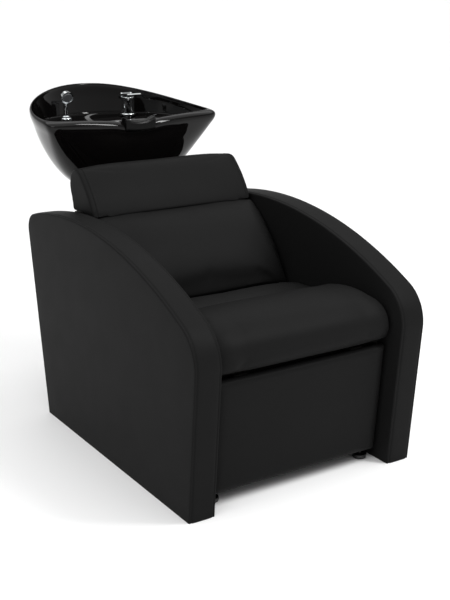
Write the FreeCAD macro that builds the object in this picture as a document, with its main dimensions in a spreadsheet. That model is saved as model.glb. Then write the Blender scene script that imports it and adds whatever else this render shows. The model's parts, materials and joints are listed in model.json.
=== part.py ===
import FreeCAD, Part
import Sketcher
import math
import os
import re

# Salon backwash unit: an upholstered chair on a steel base, with a ceramic basin that tilts behind it.
# X is the width, the front faces -Y and Z is up. Millimetres and degrees.
# Depths in the sizes are measured from the arms' front bottom edge, and middle_depth moves the
# finished unit so that its origin lies on the floor under the middle of its depth.

SIZES = {
    # Overall
    "middle_depth": 620.6, "overall_width": 700, "cut_margin": 1,
    # Arms
    "arm_thick": 75, "arm_length": 830, "arm_front_lean": 5.1, "arm_rear_lean": 9.0,
    "arm_crown_depth": 600, "arm_crown_height": 635, "arm_crown_radius": 1250, "arm_nose_radius": 112,
    "arm_tail_radius": 50, "band_thick": 12, "band_round": 5, "seam_gap": 2,
    "outer_panel_thick": 13, "inner_panel_thick": 12, "panel_round": 4, "arm_rib": 60,
    "arm_window_front": 20, "arm_window_drop": 70, "arm_window_slope": 110,
    # Seat
    "seat_side_gap": 8, "seat_bottom": 358, "seat_front": -8, "seat_roll_height": 114,
    "seat_valley_back": 148, "seat_valley_height": 60, "seat_rear_height": 66, "seat_tube_gap": 307,
    "seat_crown": 6, "seat_draw": 14, "seat_nose_depth": 24, "seat_rear_drop": 13, "seat_roll_dip": 1,
    "seat_board_thick": 15, "seat_board_front": 45, "seat_board_tail": 42, "rail_depth": 40,
    "rail_height": 60, "front_rail_front": 60, "rear_rail_lap": 10, "rear_rail_depth": 60,
    # Front panel
    "front_panel_top": 343, "front_panel_bottom": 30, "front_panel_setback": 40, "front_panel_thick": 22,
    "front_panel_side_gap": 10, "front_panel_round": 8, "batten_width": 40, "batten_inset": 95,
    # Backrest and headrest
    "back_lean": 46.2, "back_foot_gap": 28, "back_foot_drop": 2, "back_length": 296, "back_edge": 78,
    "back_bulge": 38, "back_crown": 8, "back_draw": 10, "back_side_gap": 5, "back_board_thick": 15,
    "back_board_side_gap": 8, "head_bottom": 628, "head_lead": 140, "head_seat": 140, "head_top": 748,
    "head_overhang": 23, "head_side_gap": 13, "head_crown": 3, "head_draw": 6, "head_rail_depth": 24,
    "head_rail_height": 81, "head_nape_step": 8,
    # Rear panel
    "rear_panel_setback": 14, "rear_panel_thick": 12, "rear_panel_bottom": 45, "rear_panel_top": 535,
    "rear_panel_side_gap": 3, "rear_panel_round": 3, "rear_batten_width": 20, "rear_batten_depth": 30,
    "rear_batten_gap": 0.3,
    # Steel base
    "tube_height": 30, "tube_width": 30, "rear_tube_depth": 50, "tube_wall": 2.5, "base_clearance": 30,
    "rail_inset": 35, "front_tube_front": 60, "rear_tube_inset": 85, "foot_radius": 19,
    "foot_pad_height": 12, "foot_stem_radius": 5, "foot_round": 4,
    # Post and tilt gear
    "post_width": 60, "post_depth": 40, "post_wall": 3, "post_top": 604, "post_plate_thick": 6,
    "post_plate_margin": 20, "yoke_plate": 6, "yoke_gap": 116, "yoke_height": 79, "pivot_reach": 160,
    "pivot_radius": 8, "pivot_clearance": 0.06, "pivot_head_radius": 14, "pivot_head": 8,
    "lug_radius": 18, "washer_thick": 3.8, "washer_radius": 16, "lug_clearance": 0.1, "yoke_bolt_radius": 5,
    "yoke_bolt_head_radius": 9, "yoke_bolt_head": 6, "yoke_bolt_spacing": 40, "cheek_turn": 15,
    # Cradle
    "cradle_thick": 6, "cradle_half_width": 82, "cradle_lead": 20, "cradle_tail": 122, "cradle_bore": 42,
    "cradle_pad": 3, "cradle_bolt_radius": 4, "cradle_bolt_head_radius": 7, "cradle_bolt_head": 5,
    "cradle_bolt_side": 64, "cradle_bolt_edge": 24, "cradle_bolt_lead": 12, "cradle_bolt_inner": 26,
    "cradle_bolt_grip": 14,
    # Basin
    "basin_lift": 36, "rim_front_rise": 217, "rim_climb": 64, "basin_half_width": 290,
    "basin_lead": 93, "basin_length": 419, "basin_wall": 16, "basin_floor": 24, "deck_rise": 188,
    "deck_thick": 16, "bowl_reach": 112, "notch_half_width": 62, "notch_depth": 8, "dip_depth": 13,
    "dip_half_width": 140, "dip_reach": 60, "basin_base_half_width": 112, "basin_base_reach": 84,
    "basin_corner_depth": 30, "basin_corner": 4.6, "basin_inner_corner": 3.1, "mouth_setback": 55,
    "rim_round": 6, "ledge_step": 5, "bowl_floor_half_width": 60, "bowl_widest_step": 12,
    "pocket_lead": 22, "pocket_tail": 50, "pocket_half_width": 140,
    # Neck rest
    "neck_half_width": 58, "neck_pad": 8, "neck_horn": 10, "neck_apron": 30, "neck_tuck": 7, "neck_skin": 7,
    "neck_gap": 0.6, "neck_rear_gap": 2.2, "neck_seat_gap": 2, "neck_round_step": 1,
    # Drain
    "drain_back": 48, "drain_bore": 23, "drain_tube": 21, "drain_wall": 2.5, "drain_flange": 38,
    "drain_flange_thick": 3, "drain_gasket": 3, "drain_nut_radius": 33, "drain_nut_height": 18,
    "tail_radius": 20, "drain_tube_drop": 28, "tail_length": 84, "strainer_rim": 26, "strainer_radius": 17,
    "strainer_rise": 9, "strainer_skirt": 10, "strainer_thick": 1.6, "strainer_hole": 2.2,
    "strainer_ring": 10, "strainer_gap": 0.3, "strainer_holes": 8,
    # Mixer and hand shower
    "fitting_side": 110, "fitting_back": 148, "deck_bore": 15.5, "shank_radius": 15, "shank_length": 46,
    "lock_nut_radius": 20, "lock_nut_height": 12, "fitting_gasket": 2, "mixer_flange_radius": 25,
    "mixer_flange_height": 6, "mixer_flange_round": 3, "mixer_radius": 20.5, "mixer_height": 46,
    "mixer_cap_height": 15, "mixer_cap_round": 5, "cap_gap": 0.4, "lever_width": 48, "lever_reach": 46,
    "lever_rise": 7, "lever_thick": 7, "lever_gap": 0.5, "lever_pin_radius": 2.5, "lever_pin_depth": 12,
    "lever_barrel": 4.5, "lever_ear": 5, "lever_ear_gap": 0.3, "lever_neck_width": 28,
    "lever_clearance": 0.05, "supply_radius": 5, "supply_offset": 7.5, "supply_length": 110, "holder_flange_radius": 18,
    "holder_flange_height": 8, "holder_round": 4, "holder_bore": 11, "holder_sleeve": 36,
    "shower_clearance": 0.3, "shower_collar_radius": 14, "shower_collar": 6, "shower_stem_radius": 7,
    "shower_neck_radius": 6, "shower_neck_height": 56, "shower_head_height": 72, "shower_head_radius": 20,
    "shower_head_back_radius": 16, "shower_head_forward": 10, "shower_head_thick": 16,
    "shower_face_radius": 15, "shower_face_taper": 1, "shower_face_thick": 3, "shower_tilt": 25,
}

# Places that follow from the sizes
PLACES = {
    "rail_offset": "overall_width / 2 - arm_thick - rail_inset",
    "batten_offset": "overall_width / 2 - arm_thick - batten_inset",
    "rear_tube_front": "arm_length - rear_tube_inset",
    "seat_rear_depth": "rear_tube_front - seat_tube_gap",
    "seat_valley_depth": "seat_rear_depth - seat_valley_back",
    "seat_board_rear": "seat_rear_depth + seat_board_tail",
    "rear_rail_front": "seat_board_rear - rear_rail_lap",
    "back_foot_depth": "seat_board_rear + back_foot_gap",
    "back_foot_height": "seat_bottom - back_foot_drop",
    "head_front": "back_foot_depth + head_lead",
    "head_rear": "head_front + head_seat",
    "head_back": "head_rear + head_overhang",
    "pivot_depth": "rear_tube_front + (rear_tube_depth + post_depth) / 2 + pivot_reach",
    "pivot_height": "post_top",
    "yoke_foot": "post_top - yoke_height",
    "cradle_front": "pivot_depth - cradle_lead",
    "cradle_rear": "pivot_depth + cradle_tail",
    "cradle_bolt_front": "cradle_front + cradle_bolt_lead",
    "cradle_bolt_rear": "cradle_rear - cradle_bolt_edge",
    "drain_depth": "pivot_depth + drain_back",
    "basin_front": "pivot_depth - basin_lead",
    "basin_rear": "basin_front + basin_length",
    "bowl_rear": "drain_depth + bowl_reach",
    "fitting_depth": "drain_depth + fitting_back",
    "pocket_front": "fitting_depth - pocket_lead",
    "pocket_rear": "fitting_depth + pocket_tail",
    "basin_base": "pivot_height + basin_lift",
    "basin_rim_front": "basin_base + rim_front_rise",
    "basin_rim_rear": "basin_rim_front + rim_climb",
    "deck_height": "basin_base + deck_rise",
    "drain_tube_end": "basin_base - drain_tube_drop",
}

document = FreeCAD.newDocument("backwash_unit")
sheet = document.addObject("Spreadsheet::Sheet", "sizes")
cells = {alias: str(size) for alias, size in SIZES.items()}
cells.update({alias: f"={formula}" for alias, formula in PLACES.items()})
for row, (alias, content) in enumerate(cells.items(), start=1):
    sheet.set(f"A{row}", alias)
    sheet.set(f"B{row}", content)
    sheet.setAlias(f"B{row}", alias)
document.recompute()

PLAN_STEPS = 1440
RING_POINTS = 56
REAR_CORNER = 2.15
SIDE_FLARE = 0.5
REAR_SWELL = 2.4
WIDEST_DRIFT = 1.6
CORNER_FADE = 3
BOWL_FLARE = 0.42
OUTER_SHARES = (0, 0.06, 0.18, 0.36, 0.58, 0.8, 1.0)
BOWL_SHARES = (0, 0.03, 0.12, 0.3, 0.55, 0.8, 1.0)
LIP_STEPS = ((0.33, 1.0), (0.67, 1.0), (1.0, 0.0))
SEW_TOLERANCE = 0.05
TOUCH = 0.01
CUSHION_FULL = 0.8
SEAT_NOSE_MIDDLE = 0.38
SEAT_NOSE_REACH = 0.32
SEAT_BROW_DROP = 0.16
SEAT_ROLL_MIDDLE = 0.33
BACK_BULGE_AT = 0.46
HEAD_BROW = (0.52, 0.89)
HEAD_SHOULDER = (0.95, 0.83)
HEAD_CHIN = (0.24, 0.5)
HEAD_NAPE = 0.3
HEAD_BACK = 0.58
NECK_STATIONS = (-1, -0.6, 0, 0.6, 1)
WORD = re.compile(r"\b(" + "|".join(sorted(cells, key=len, reverse=True)) + r")\b")
SIDES = {"left": -1, "right": 1}
sub_parts = []


def sized(expression):
    """The expression with every size name pointed at its cell."""
    return WORD.sub(r"sizes.\1", str(expression))


def number(expression):
    """The present value of an expression of size names."""
    return float(sheet.evalExpression(sized(expression)))


def bind(item, name, expression):
    item.setExpression(name, sized(expression))


def depth(expression):
    """A depth from the arms' front edge as a Y coordinate."""
    return f"(({expression}) - middle_depth)"


def keep(item, label):
    """Name a finished sub-part."""
    item.Label = label
    sub_parts.append(item)
    return item


def box(x, y, z):
    """Part::Box between pairs of expressions; the depth pair is measured from the arms' front."""
    item = document.addObject("Part::Box", "box")
    for size, pair in zip(("Length", "Width", "Height"), (x, y, z)):
        bind(item, size, f"({pair[1]}) - ({pair[0]})")
    for axis, place in zip("xyz", (x[0], depth(y[0]), z[0])):
        bind(item, f".Placement.Base.{axis}", place)
    return item


TURN = {
    "z": FreeCAD.Rotation(),
    "x": FreeCAD.Rotation(FreeCAD.Vector(0, 1, 0), 90),
    "y": FreeCAD.Rotation(FreeCAD.Vector(1, 0, 0), -90),
}


def place_at(item, at, axis="z"):
    item.Placement = FreeCAD.Placement(FreeCAD.Vector(), TURN[axis])
    for letter, place in zip("xyz", (at[0], depth(at[1]), at[2])):
        bind(item, f".Placement.Base.{letter}", place)
    return item


def rod(radius, length, at, axis="z"):
    """Part::Cylinder from a point along an axis."""
    item = document.addObject("Part::Cylinder", "rod")
    bind(item, "Radius", radius)
    bind(item, "Height", length)
    return place_at(item, at, axis)


def hexagon(radius, length, at, axis="z"):
    """Part::Prism with six sides, for nuts and bolt heads."""
    item = document.addObject("Part::Prism", "hexagon")
    item.Polygon = 6
    bind(item, "Circumradius", radius)
    bind(item, "Height", length)
    return place_at(item, at, axis)


def cone(lower, upper, length, at, axis="z"):
    item = document.addObject("Part::Cone", "cone")
    bind(item, "Radius1", lower)
    bind(item, "Radius2", upper)
    bind(item, "Height", length)
    return place_at(item, at, axis)


def fuse(*items):
    joined = document.addObject("Part::MultiFuse", "fuse")
    joined.Shapes = list(items)
    joined.Refine = True
    return joined


def cut(base, *tools):
    for tool in tools:
        result = document.addObject("Part::Cut", "cut")
        result.Base = base
        result.Tool = tool
        base = result
    return base


def group(*items):
    """Separate solids that share one node."""
    result = document.addObject("Part::Compound", "group")
    result.Links = list(items)
    return result


def feature(shape):
    item = document.addObject("Part::Feature", "form")
    item.Shape = shape
    return item


def tube(x, y, z, wall, along):
    """A rectangular tube open at both ends along one axis."""
    inner = []
    for letter, pair in zip("xyz", (x, y, z)):
        grow = f"-({wall})" if letter != along else f"({wall})"
        inner.append((f"({pair[0]}) - ({grow})", f"({pair[1]}) + ({grow})"))
    return cut(box(x, y, z), box(*inner))


# Sketched bodies

def new_sketch(body, plane, offset="0"):
    sketch = body.newObject("Sketcher::SketchObject", "outline")
    support = [item for item in body.Origin.OriginFeatures if item.Role == plane][0]
    sketch.AttachmentSupport = [(support, "")]
    sketch.MapMode = "FlatFace"
    bind(sketch, ".AttachmentOffset.Base.z", offset)
    return sketch


def fix(sketch, kind, references, expression):
    value = number(expression)
    if kind == "Angle":
        value = math.radians(value)
    index = sketch.addConstraint(Sketcher.Constraint(kind, *references, value))
    unit = " * 1 deg" if kind == "Angle" else ""
    sketch.setExpression(f"Constraints[{index}]", f"({sized(expression)}){unit}")


def fix_point(sketch, geometry, end, across, up):
    fix(sketch, "DistanceX", (-1, 1, geometry, end), across)
    fix(sketch, "DistanceY", (-1, 1, geometry, end), up)


def draw(sketch, corners):
    """A closed outline. Each corner is (across, up) or (across, up, radius of the arc to the next corner).

    Corners run anticlockwise, and every arc bulges outwards and is less than a half circle.
    """
    points = [FreeCAD.Vector(number(corner[0]), number(corner[1]), 0) for corner in corners]
    count = len(corners)
    for index, corner in enumerate(corners):
        start, end = points[index], points[(index + 1) % count]
        if len(corner) == 3:
            radius = number(corner[2])
            middle = (start + end) / 2
            chord = end - start
            inward = FreeCAD.Vector(-chord.y, chord.x, 0).normalize()
            centre = middle + inward * math.sqrt(max(radius ** 2 - (chord.Length / 2) ** 2, 0))
            first = math.atan2(start.y - centre.y, start.x - centre.x)
            last = math.atan2(end.y - centre.y, end.x - centre.x)
            circle = Part.Circle(centre, FreeCAD.Vector(0, 0, 1), radius)
            sketch.addGeometry(Part.ArcOfCircle(circle, first, last), False)
        else:
            sketch.addGeometry(Part.LineSegment(start, end), False)
    for index, corner in enumerate(corners):
        following = (index + 1) % count
        sketch.addConstraint(Sketcher.Constraint("Coincident", index, 2, following, 1))
        fix_point(sketch, index, 1, corner[0], corner[1])
        if len(corner) == 3:
            fix(sketch, "Radius", (index,), corner[2])


def new_body():
    return document.addObject("PartDesign::Body", "body")


def pad(body, sketch, length):
    item = body.newObject("PartDesign::Pad", "pad")
    item.Profile = sketch
    bind(item, "Length", length)
    return item


def pocket(body, sketch, length):
    """A pocket that cuts along the sketch's own normal."""
    item = body.newObject("PartDesign::Pocket", "pocket")
    item.Profile = sketch
    item.Reversed = True
    bind(item, "Length", length)
    return item


def slab(corners, start, end):
    """A side outline (depth, height) padded across the width between two X values."""
    body = new_body()
    sketch = new_sketch(body, "YZ_Plane", start)
    draw(sketch, [(depth(corner[0]), *corner[1:]) for corner in corners])
    return body, pad(body, sketch, f"({end}) - ({start})")


def turned(corners, at):
    """A solid of revolution about a vertical axis: corners are (radius, height above the point)."""
    body = new_body()
    sketch = new_sketch(body, "XZ_Plane")
    draw(sketch, corners)
    item = body.newObject("PartDesign::Revolution", "turn")
    item.Profile = sketch
    item.ReferenceAxis = (sketch, ["V_Axis"])
    item.Angle = 360
    return place_at(body, at)


def round_edges(body, base, radius, wanted):
    """Fillet the edges of the last feature that pass the test."""
    document.recompute()
    names = [f"Edge{i}" for i, edge in enumerate(base.Shape.Edges, start=1) if wanted(edge)]
    item = body.newObject("PartDesign::Fillet", "round")
    item.Base = (base, names)
    bind(item, "Radius", radius)
    return item


def middle_of(edge):
    return edge.valueAt((edge.FirstParameter + edge.LastParameter) / 2)


# Arms

def arm_curve(inset):
    """The arm's side outline drawn in by a distance: corner and tangent points with the three arc centres."""
    front, rear = math.radians(number("arm_front_lean")), math.radians(number("arm_rear_lean"))
    radius = number("arm_crown_radius") - inset
    nose, tail = number("arm_nose_radius") - inset, number("arm_tail_radius") - inset
    crown = FreeCAD.Vector(number(depth("arm_crown_depth")), number("arm_crown_height - arm_crown_radius"))
    foot = FreeCAD.Vector(number(depth("0")) + inset / math.cos(front) - inset * math.tan(front), inset)
    heel = FreeCAD.Vector(number(depth("arm_length")) - inset / math.cos(rear) + inset * math.tan(rear), inset)

    def tangent_circle(start, along, inward, small):
        base = start + inward * small - crown
        half = base.dot(along)
        length = -half + math.sqrt(half ** 2 - base.dot(base) + (radius - small) ** 2)
        centre = start + inward * small + along * length
        return centre, start + along * length, crown + (centre - crown).normalize() * radius

    up_front = FreeCAD.Vector(-math.sin(front), math.cos(front))
    up_rear = FreeCAD.Vector(math.sin(rear), math.cos(rear))
    nose_circle = tangent_circle(foot, up_front, FreeCAD.Vector(math.cos(front), math.sin(front)), nose)
    tail_circle = tangent_circle(heel, up_rear, FreeCAD.Vector(-math.cos(rear), math.sin(rear)), tail)
    return foot, heel, crown, radius, nose_circle, tail_circle


def arm_outline(sketch, inset):
    """Draw the arm's outline in a sketch, drawn in by an expression."""
    offset = number(inset)
    foot, heel, crown, radius, nose, tail = arm_curve(offset)

    def arc(centre, size, start, end):
        angles = [math.atan2(point.y - centre.y, point.x - centre.x) for point in (start, end)]
        return Part.ArcOfCircle(Part.Circle(centre, FreeCAD.Vector(0, 0, 1), size), *angles)

    sole, heel_line, tail_arc, crown_arc, nose_arc, front_line = (
        sketch.addGeometry(geometry, False)
        for geometry in (
            Part.LineSegment(foot, heel),
            Part.LineSegment(heel, tail[1]),
            arc(tail[0], number("arm_tail_radius") - offset, tail[1], tail[2]),
            arc(crown, radius, tail[2], nose[2]),
            arc(nose[0], number("arm_nose_radius") - offset, nose[2], nose[1]),
            Part.LineSegment(foot, nose[1]),
        )
    )
    sketch.addConstraint(Sketcher.Constraint("Coincident", sole, 2, heel_line, 1))
    sketch.addConstraint(Sketcher.Constraint("Coincident", sole, 1, front_line, 1))
    sketch.addConstraint(Sketcher.Constraint("Tangent", heel_line, 2, tail_arc, 1))
    sketch.addConstraint(Sketcher.Constraint("Tangent", tail_arc, 2, crown_arc, 1))
    sketch.addConstraint(Sketcher.Constraint("Tangent", crown_arc, 2, nose_arc, 1))
    sketch.addConstraint(Sketcher.Constraint("Tangent", nose_arc, 2, front_line, 2))
    toe = f"({inset}) / cos(arm_front_lean) - ({inset}) * tan(arm_front_lean)"
    back = f"arm_length - ({inset}) / cos(arm_rear_lean) + ({inset}) * tan(arm_rear_lean)"
    fix_point(sketch, sole, 1, depth(toe), inset)
    fix_point(sketch, sole, 2, depth(back), inset)
    fix_point(sketch, crown_arc, 3, depth("arm_crown_depth"), "arm_crown_height - arm_crown_radius")
    fix(sketch, "Radius", (crown_arc,), f"arm_crown_radius - ({inset})")
    fix(sketch, "Radius", (nose_arc,), f"arm_nose_radius - ({inset})")
    fix(sketch, "Radius", (tail_arc,), f"arm_tail_radius - ({inset})")
    fix(sketch, "Angle", (heel_line,), "90 - arm_rear_lean")
    fix(sketch, "Angle", (front_line,), "90 + arm_front_lean")


def arm_slab(inset, start, end):
    body = new_body()
    sketch = new_sketch(body, "YZ_Plane", start)
    arm_outline(sketch, inset)
    return body, pad(body, sketch, f"({end}) - ({start})")


def on_arm_rim(edge, inset, faces):
    """Whether an edge lies on the arm's outline, drawn in by inset, in one of the given X planes."""
    foot, heel, crown, radius, nose, tail = arm_curve(inset)
    point = middle_of(edge)
    if min(abs(point.x - face) for face in faces) > TOUCH or edge.BoundBox.XLength > TOUCH:
        return False
    arc_top = crown + FreeCAD.Vector(0, radius)
    nose_middle = nose[0] + (nose[1] - nose[0] + nose[2] - nose[0]).normalize() * (nose[1] - nose[0]).Length
    tail_middle = tail[0] + (tail[1] - tail[0] + tail[2] - tail[0]).normalize() * (tail[1] - tail[0]).Length
    outline = [
        Part.makeLine(foot, heel), Part.makeLine(heel, tail[1]), Part.makeLine(foot, nose[1]),
        Part.Arc(tail[1], tail_middle, tail[2]).toShape(), Part.Arc(tail[2], arc_top, nose[2]).toShape(),
        Part.Arc(nose[2], nose_middle, nose[1]).toShape(),
    ]
    spot = Part.Vertex(point.y, point.z, 0)
    return min(line.distToShape(spot)[0] for line in outline) < TOUCH


def arm_windows(body, start, end):
    """Two openings that leave ribs round the frame and one post between them."""
    edge = "(band_thick + arm_rib)"
    front = f"({edge} + arm_window_front)"
    rear = f"(arm_length - {edge})"
    post = f"(({front} + {rear}) / 2)"
    height = "(arm_crown_height - 2 * arm_rib - arm_window_drop)"
    sketch = new_sketch(body, "YZ_Plane", start)
    draw(sketch, [(depth(front), edge), (depth(f"{post} - arm_rib / 2"), edge),
                  (depth(f"{post} - arm_rib / 2"), height), (depth(front), f"{height} - arm_window_slope")])
    pocket(body, sketch, f"({end}) - ({start})")
    sketch = new_sketch(body, "YZ_Plane", start)
    draw(sketch, [(depth(f"{post} + arm_rib / 2"), edge), (depth(rear), edge), (depth(rear), height),
                  (depth(f"{post} + arm_rib / 2"), height)])
    pocket(body, sketch, f"({end}) - ({start})")


def make_arm(name, side):
    """Edge band, side panels and timber frame of one arm."""
    outer, inner = "overall_width / 2", "overall_width / 2 - arm_thick"
    layers = {
        "band": (inner, outer),
        "outer": (f"{outer} - outer_panel_thick", outer),
        "frame": (f"{inner} + inner_panel_thick", f"{outer} - outer_panel_thick"),
        "inner": (inner, f"{inner} + inner_panel_thick"),
    }
    if side < 0:
        layers = {key: (f"-({pair[1]})", f"-({pair[0]})") for key, pair in layers.items()}
    start, end = layers["band"]
    body, base = arm_slab("0", start, end)
    sketch = new_sketch(body, "YZ_Plane", start)
    arm_outline(sketch, "band_thick")
    ring = pocket(body, sketch, f"({end}) - ({start})")
    faces = [number(start), number(end)]
    round_edges(body, ring, "band_round", lambda edge: on_arm_rim(edge, 0.0, faces))
    keep(body, f"{name}_arm_band")
    inset = "(band_thick + seam_gap)"
    for key, visible in (("outer", outer), ("inner", inner)):
        body, base = arm_slab(inset, *layers[key])
        face = [side * number(visible)]
        round_edges(body, base, "panel_round", lambda edge: on_arm_rim(edge, number(inset), face))
        keep(body, f"{name}_arm_{key}_panel")
    body, base = arm_slab("band_thick", *layers["frame"])
    arm_windows(body, *layers["frame"])
    keep(body, f"{name}_arm_frame")


# Soft solids lofted across the width

def side_wire(x, path):
    """A closed wire in a plane of constant X from (depth, height) points; a third item is an arc's middle."""
    edges = []
    shift = number("middle_depth")

    def place(point):
        return FreeCAD.Vector(x, point[0] - shift, point[1])

    for index, step in enumerate(path):
        start, end = place(step[:2]), place(path[(index + 1) % len(path)][:2])
        if len(step) == 3:
            edges.append(Part.Arc(start, place(step[2]), end).toShape())
        else:
            edges.append(Part.makeLine(start, end))
    return Part.Wire(edges)


def cushion(profile, half, draw_in, crown):
    """Loft a side profile across the width: full at the middle, drawn in at both ends."""
    full = CUSHION_FULL * half
    stations = [(-half, -draw_in), (-full, 0), (0, crown), (full, 0), (half, -draw_in)]
    wires = [side_wire(x, profile(swell)) for x, swell in stations]
    return feature(Part.makeLoft(wires, True, False))


def seat_profile(swell):
    """Seat section: front roll, sewn valley, rear seat. Swell raises the crown or draws the section in."""
    low, front = number("seat_bottom"), number("seat_front") - swell
    roll = low + number("seat_roll_height") + swell
    valley = low + number("seat_valley_height") + swell / 2
    rear = low + number("seat_rear_height") + swell
    valley_depth, end = number("seat_valley_depth"), number("seat_rear_depth")
    nose_top = front + SEAT_NOSE_REACH * (roll - low)
    roll_middle = nose_top + SEAT_ROLL_MIDDLE * (valley_depth - nose_top)
    return [
        (front + number("seat_nose_depth"), low, (front, low + SEAT_NOSE_MIDDLE * (roll - low))),
        (nose_top, roll - SEAT_BROW_DROP * (roll - low), (roll_middle, roll - number("seat_roll_dip"))),
        (valley_depth, valley, ((valley_depth + end) / 2, rear)),
        (end, rear - number("seat_rear_drop")),
        (end, low),
    ]


def back_point(along, out):
    """A (depth, height) point given along the back board's face and out from it."""
    lean = math.radians(number("back_lean"))
    return (
        number("back_foot_depth") + along * math.cos(lean) - out * math.sin(lean),
        number("back_foot_height") + along * math.sin(lean) + out * math.cos(lean),
    )


def back_profile(swell):
    """Backrest section: flat on its board, with a full lumbar bulge."""
    length, edge = number("back_length"), number("back_edge") + min(swell, 0)
    bulge = edge + number("back_bulge") + swell
    return [
        back_point(0, 0),
        back_point(length, 0),
        (*back_point(length, edge), back_point(BACK_BULGE_AT * length, bulge)),
        back_point(0, edge),
    ]


def head_profile(swell):
    """Headrest section: flat under, sloping front, round top and back."""
    low, top = number("head_bottom"), number("head_top") + swell
    front, rear, back = number("head_front") - swell, number("head_rear"), number("head_back") + swell
    brow, shoulder, chin = (
        (front + share[0] * (back - front), low + share[1] * (top - low))
        for share in (HEAD_BROW, HEAD_SHOULDER, HEAD_CHIN)
    )
    return [
        (front, low),
        (rear, low),
        (back - number("head_nape_step"), low + HEAD_NAPE * (top - low),
         (back, low + HEAD_BACK * (top - low))),
        (*shoulder, ((brow[0] + shoulder[0]) / 2, top)),
        (*brow, chin),
    ]


def make_upholstery():
    """Seat, backrest, headrest and kick panel with the boards and rails that carry them."""
    inner = "(overall_width / 2 - arm_thick)"
    keep(cushion(seat_profile, number(f"{inner} - seat_side_gap"), number("seat_draw"), number("seat_crown")),
         "seat_cushion")
    keep(cushion(back_profile, number(f"{inner} - back_side_gap"), number("back_draw"), number("back_crown")),
         "back_cushion")
    keep(cushion(head_profile, number(f"{inner} - head_side_gap"), number("head_draw"), number("head_crown")),
         "headrest")
    board = f"({inner} - seat_side_gap)"
    under = "(seat_bottom - seat_board_thick)"
    keep(box((f"-{board}", board), ("seat_board_front", "seat_board_rear"), (under, "seat_bottom")),
         "seat_board")
    for name, start, wide in (("front", "front_rail_front", "rail_depth"),
                              ("rear", "rear_rail_front", "rear_rail_depth")):
        rail = box((f"-{inner}", inner), (start, f"{start} + {wide}"), (f"{under} - rail_height", under))
        keep(rail, f"{name}_seat_rail")
    make_front_panel(inner)
    make_back_support(inner, under)


def make_front_panel(inner):
    """Padded kick panel that leans with the arms, on two wedge battens."""
    lean = "tan(arm_front_lean)"
    face = "(front_panel_setback - {} * " + lean + ")"
    top, bottom = face.format("front_panel_top"), face.format("front_panel_bottom")
    half = f"({inner} - front_panel_side_gap)"
    corners = [(bottom, "front_panel_bottom"), (f"{bottom} + front_panel_thick", "front_panel_bottom"),
               (f"{top} + front_panel_thick", "front_panel_top"), (top, "front_panel_top")]
    body, base = slab(corners, f"-{half}", half)
    document.recompute()
    limit = number(depth(bottom)) + TOUCH

    def on_front(edge):
        point = middle_of(edge)
        line = limit - (point.z - number("front_panel_bottom")) * number(lean)
        return point.y < line

    round_edges(body, base, "front_panel_round", on_front)
    keep(body, "front_panel")
    wedges = []
    for side in SIDES.values():
        middle = f"{side} * batten_offset"
        wedge, base = slab(
            [(f"{bottom} + front_panel_thick", "front_panel_bottom"),
             ("front_rail_front", "front_panel_bottom"),
             ("front_rail_front", "front_panel_top"), (f"{top} + front_panel_thick", "front_panel_top")],
            f"{middle} - batten_width / 2", f"{middle} + batten_width / 2")
        wedges.append(wedge)
    keep(group(*wedges), "front_panel_battens")


def make_back_support(inner, under):
    """Plywood board behind the backrest and the rail under the headrest."""
    half = f"({inner} - back_board_side_gap)"
    slope = "cos(back_lean) / sin(back_lean)"
    upper = ("(back_foot_depth + back_length * cos(back_lean))",
             "(back_foot_height + back_length * sin(back_lean))")
    rear_upper = (f"({upper[0]} + back_board_thick * sin(back_lean))",
                  f"({upper[1]} - back_board_thick * cos(back_lean))")
    toe = f"(back_foot_depth - (back_foot_height - {under}) * {slope})"
    corners = [(toe, under), (f"{toe} + back_board_thick / sin(back_lean)", under), rear_upper, upper]
    board, base = slab(corners, f"-{half}", half)
    keep(board, "back_board")
    rail = box((f"-{inner}", inner), (rear_upper[0], f"{rear_upper[0]} + head_rail_depth"),
               ("head_bottom - head_rail_height", "head_bottom"))
    keep(rail, "headrest_rail")


def make_rear_panel():
    """Access panel between the arms at the rear, with its battens."""
    inner = "(overall_width / 2 - arm_thick)"
    lean = "tan(arm_rear_lean)"

    def face(height, back):
        return f"(arm_length + ({height}) * {lean} - rear_panel_setback - ({back}))"

    def leaning(low, high, near, far, start, end):
        return slab([(face(low, far), low), (face(low, near), low),
                     (face(high, near), high), (face(high, far), high)],
                    start, end)

    half = f"({inner} - rear_panel_side_gap)"
    body, base = leaning("rear_panel_bottom", "rear_panel_top", "0", "rear_panel_thick", f"-{half}", half)
    limit = number(depth(face("rear_panel_bottom", "0"))) - TOUCH

    def on_rear(edge):
        point = middle_of(edge)
        return point.y > limit + (point.z - number("rear_panel_bottom")) * number(lean)

    round_edges(body, base, "rear_panel_round", on_rear)
    keep(body, "rear_panel")
    battens = []
    sill = "(base_clearance + tube_height + rear_batten_gap)"
    for side in SIDES.values():
        pair = sorted((f"{side} * {inner}", f"{side} * ({inner} - rear_batten_width)"), key=number)
        batten, base = leaning(sill, "rear_panel_top", "rear_panel_thick",
                               "(rear_panel_thick + rear_batten_depth)", *pair)
        battens.append(batten)
    keep(group(*battens), "rear_battens")


# Steel base, post and tilt gear

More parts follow.
